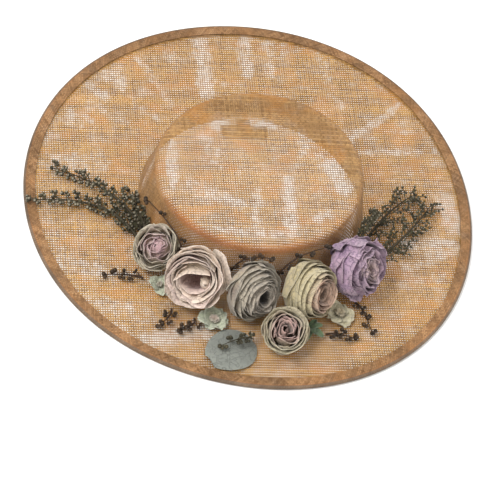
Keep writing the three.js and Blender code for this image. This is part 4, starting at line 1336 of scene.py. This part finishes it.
def growSprig(name, spec):
    random = np.random.default_rng(spec["seed"])
    bunch = Bunch()
    places = zip((spec["root"], spec["middle"], spec["tip"]), spec["lift"])
    path = bendThrough(*[np.array((*spot, seat + lift)) + np.array((shift.x, shift.y, 0))
                         for spot, lift in places], 22)
    bunch.tube(path, spec["stem"], 0.35, 6, 0.5)
    near, far = spec["reach"]
    for k in range(spec["twigs"]):
        share = spec["first"] + (0.97 - spec["first"]) * (k / (spec["twigs"] - 1)) ** spec["crowd"]
        at = share * (len(path) - 1)
        low = min(int(at), len(path) - 2)
        place = path[low] + (path[low + 1] - path[low]) * (at - low)
        way = path[low + 1] - path[low]
        way[2] = 0
        way /= np.linalg.norm(way)
        lean = math.radians(random.uniform(*spec["lean"])) * (1 if k % 2 else -1)
        way = np.array(Matrix.Rotation(lean, 3, "Z") @ Vector(way))
        length = (near + (far - near) * share) * random.uniform(0.65, 1.15)
        growTwig(bunch, place, way, length, share, spec, random)
    end = path[-1] - path[-2]
    tip = path[-1] + end / np.linalg.norm(end) * spec["bead"] * 0.8
    bunch.stamp(bead, tip, end + np.array((0, 0, 0.4)), spec["bead"], 0.3)
    material, slotName = berries[spec["berries"]]
    return finishPiece(bunch.piece(name), material, [spec["node"]], angle=70)


sprigForm = {"beads": 3, "stem": 0.75, "twig": 0.42, "leaves": 0, "crowd": 1.0}


def sprigTable(shared, rows):
    names = ("node", "seed", "root", "middle", "tip", "lift", "twigs", "reach")
    return [dict(sprigForm, **shared, **dict(zip(names, row))) for row in rows]


leftSprigs = sprigTable(
    {"berries": "green", "bead": 1.75, "rise": 0.35, "lean": (18, 56), "first": 0.04, "leaves": 9,
     "leaf": 3.2, "crowd": 1.08, "stem": 1.8, "twig": 0.6},
    (
        ("sprig_left_upper", 31, (-78, -71), (-112, -42), (-167, -28), (2.4, 6, 2.4), 25, (12, 8)),
        ("sprig_left_lower", 32, (-82, -76), (-122, -55), (-177, -70), (2.4, 3, 5.4), 25, (12, 8)),
        ("sprig_left_short", 33, (-77, -70), (-87, -56), (-101, -30), (9, 11, 2.4), 12, (8, 6)),
    ),
)
rightSprigs = sprigTable(
    {"berries": "green", "bead": 1.25, "rise": 0.5, "lean": (24, 70), "first": 0.05, "leaves": 9, "leaf": 3.1,
     "crowd": 1.1, "stem": 1.6, "twig": 0.5},
    (
        ("sprig_right_upper", 41, (97, -33), (112, 14), (133, 49), (2.4, 3.5, 2.4), 31, (19, 12)),
        ("sprig_right_lower", 42, (112, -34), (134, 4), (149, 43), (2.4, 3.5, 2.4), 31, (18, 11)),
    ),
)
crownSprigs = sprigTable(
    {"berries": "green", "bead": 1.4, "rise": 0.3, "lean": (30, 60), "first": 0.1, "leaves": 7, "leaf": 3.4},
    (("sprig_right_crown", 51, (93, -40), (98, -16), (105, 8), (0.6, 22, 14), 18, (6, 5)),),
)
brownSprays = sprigTable(
    {"berries": "brown", "bead": 1.9, "beads": 2, "rise": 0.4, "lean": (30, 66), "first": 0.15,
     "stem": 1.1, "twig": 0.6},
    (
        ("spray_thin_left", 61, (-43.5, -94), (-48, -90.5), (-83, -56), (0.5, 34, 31), 6, (4, 3)),
        ("spray_brown_left", 62, (-68, -113.5), (-81, -115), (-98, -120), (2.4, 3, 2.4), 6, (6, 4)),
        ("spray_brown_front", 63, (-39, -136), (-39, -144), (-45, -155), (2.4, 3, 2.4), 6, (6, 4)),
        ("spray_brown_middle", 64, (-19, -139), (-19, -146), (-27, -154), (2.4, 3, 2.4), 6, (6, 4)),
        ("spray_crown_front", 65, (-3, -102), (4, -98), (28, -92), (0.5, 37, 45), 7, (4, 3)),
        ("spray_crown_right", 66, (38, -94), (42, -89.5), (71, -66), (0.5, 39, 47), 6, (4, 3)),
        ("spray_brown_right", 67, (105, -80), (113, -86), (124, -104), (2.4, 3, 2.4), 6, (6, 4)),
        ("spray_brown_bottom", 68, (88, -119), (97, -116), (111, -115), (2.4, 3, 2.4), 6, (5, 4)),
    ),
)
leafSpray = sprigTable(
    {"berries": "leaf", "bead": 1.8, "rise": 0.3, "lean": (35, 70), "first": 0.1, "leaves": 5, "leaf": 2.6,
     "twig": 0.5},
    (("spray_leaf_berries", 71, (32, -149), (23, -151), (8, -163), (9.9, 10.7, 9.3), 6, (5, 4)),),
)
for spec in leftSprigs + rightSprigs + crownSprigs + brownSprays + leafSpray:
    words = spec["node"].split("_")
    growSprig(words[0] + "".join(word.title() for word in words[1:]), spec)
print("sprigs ready")


print("scene ready")
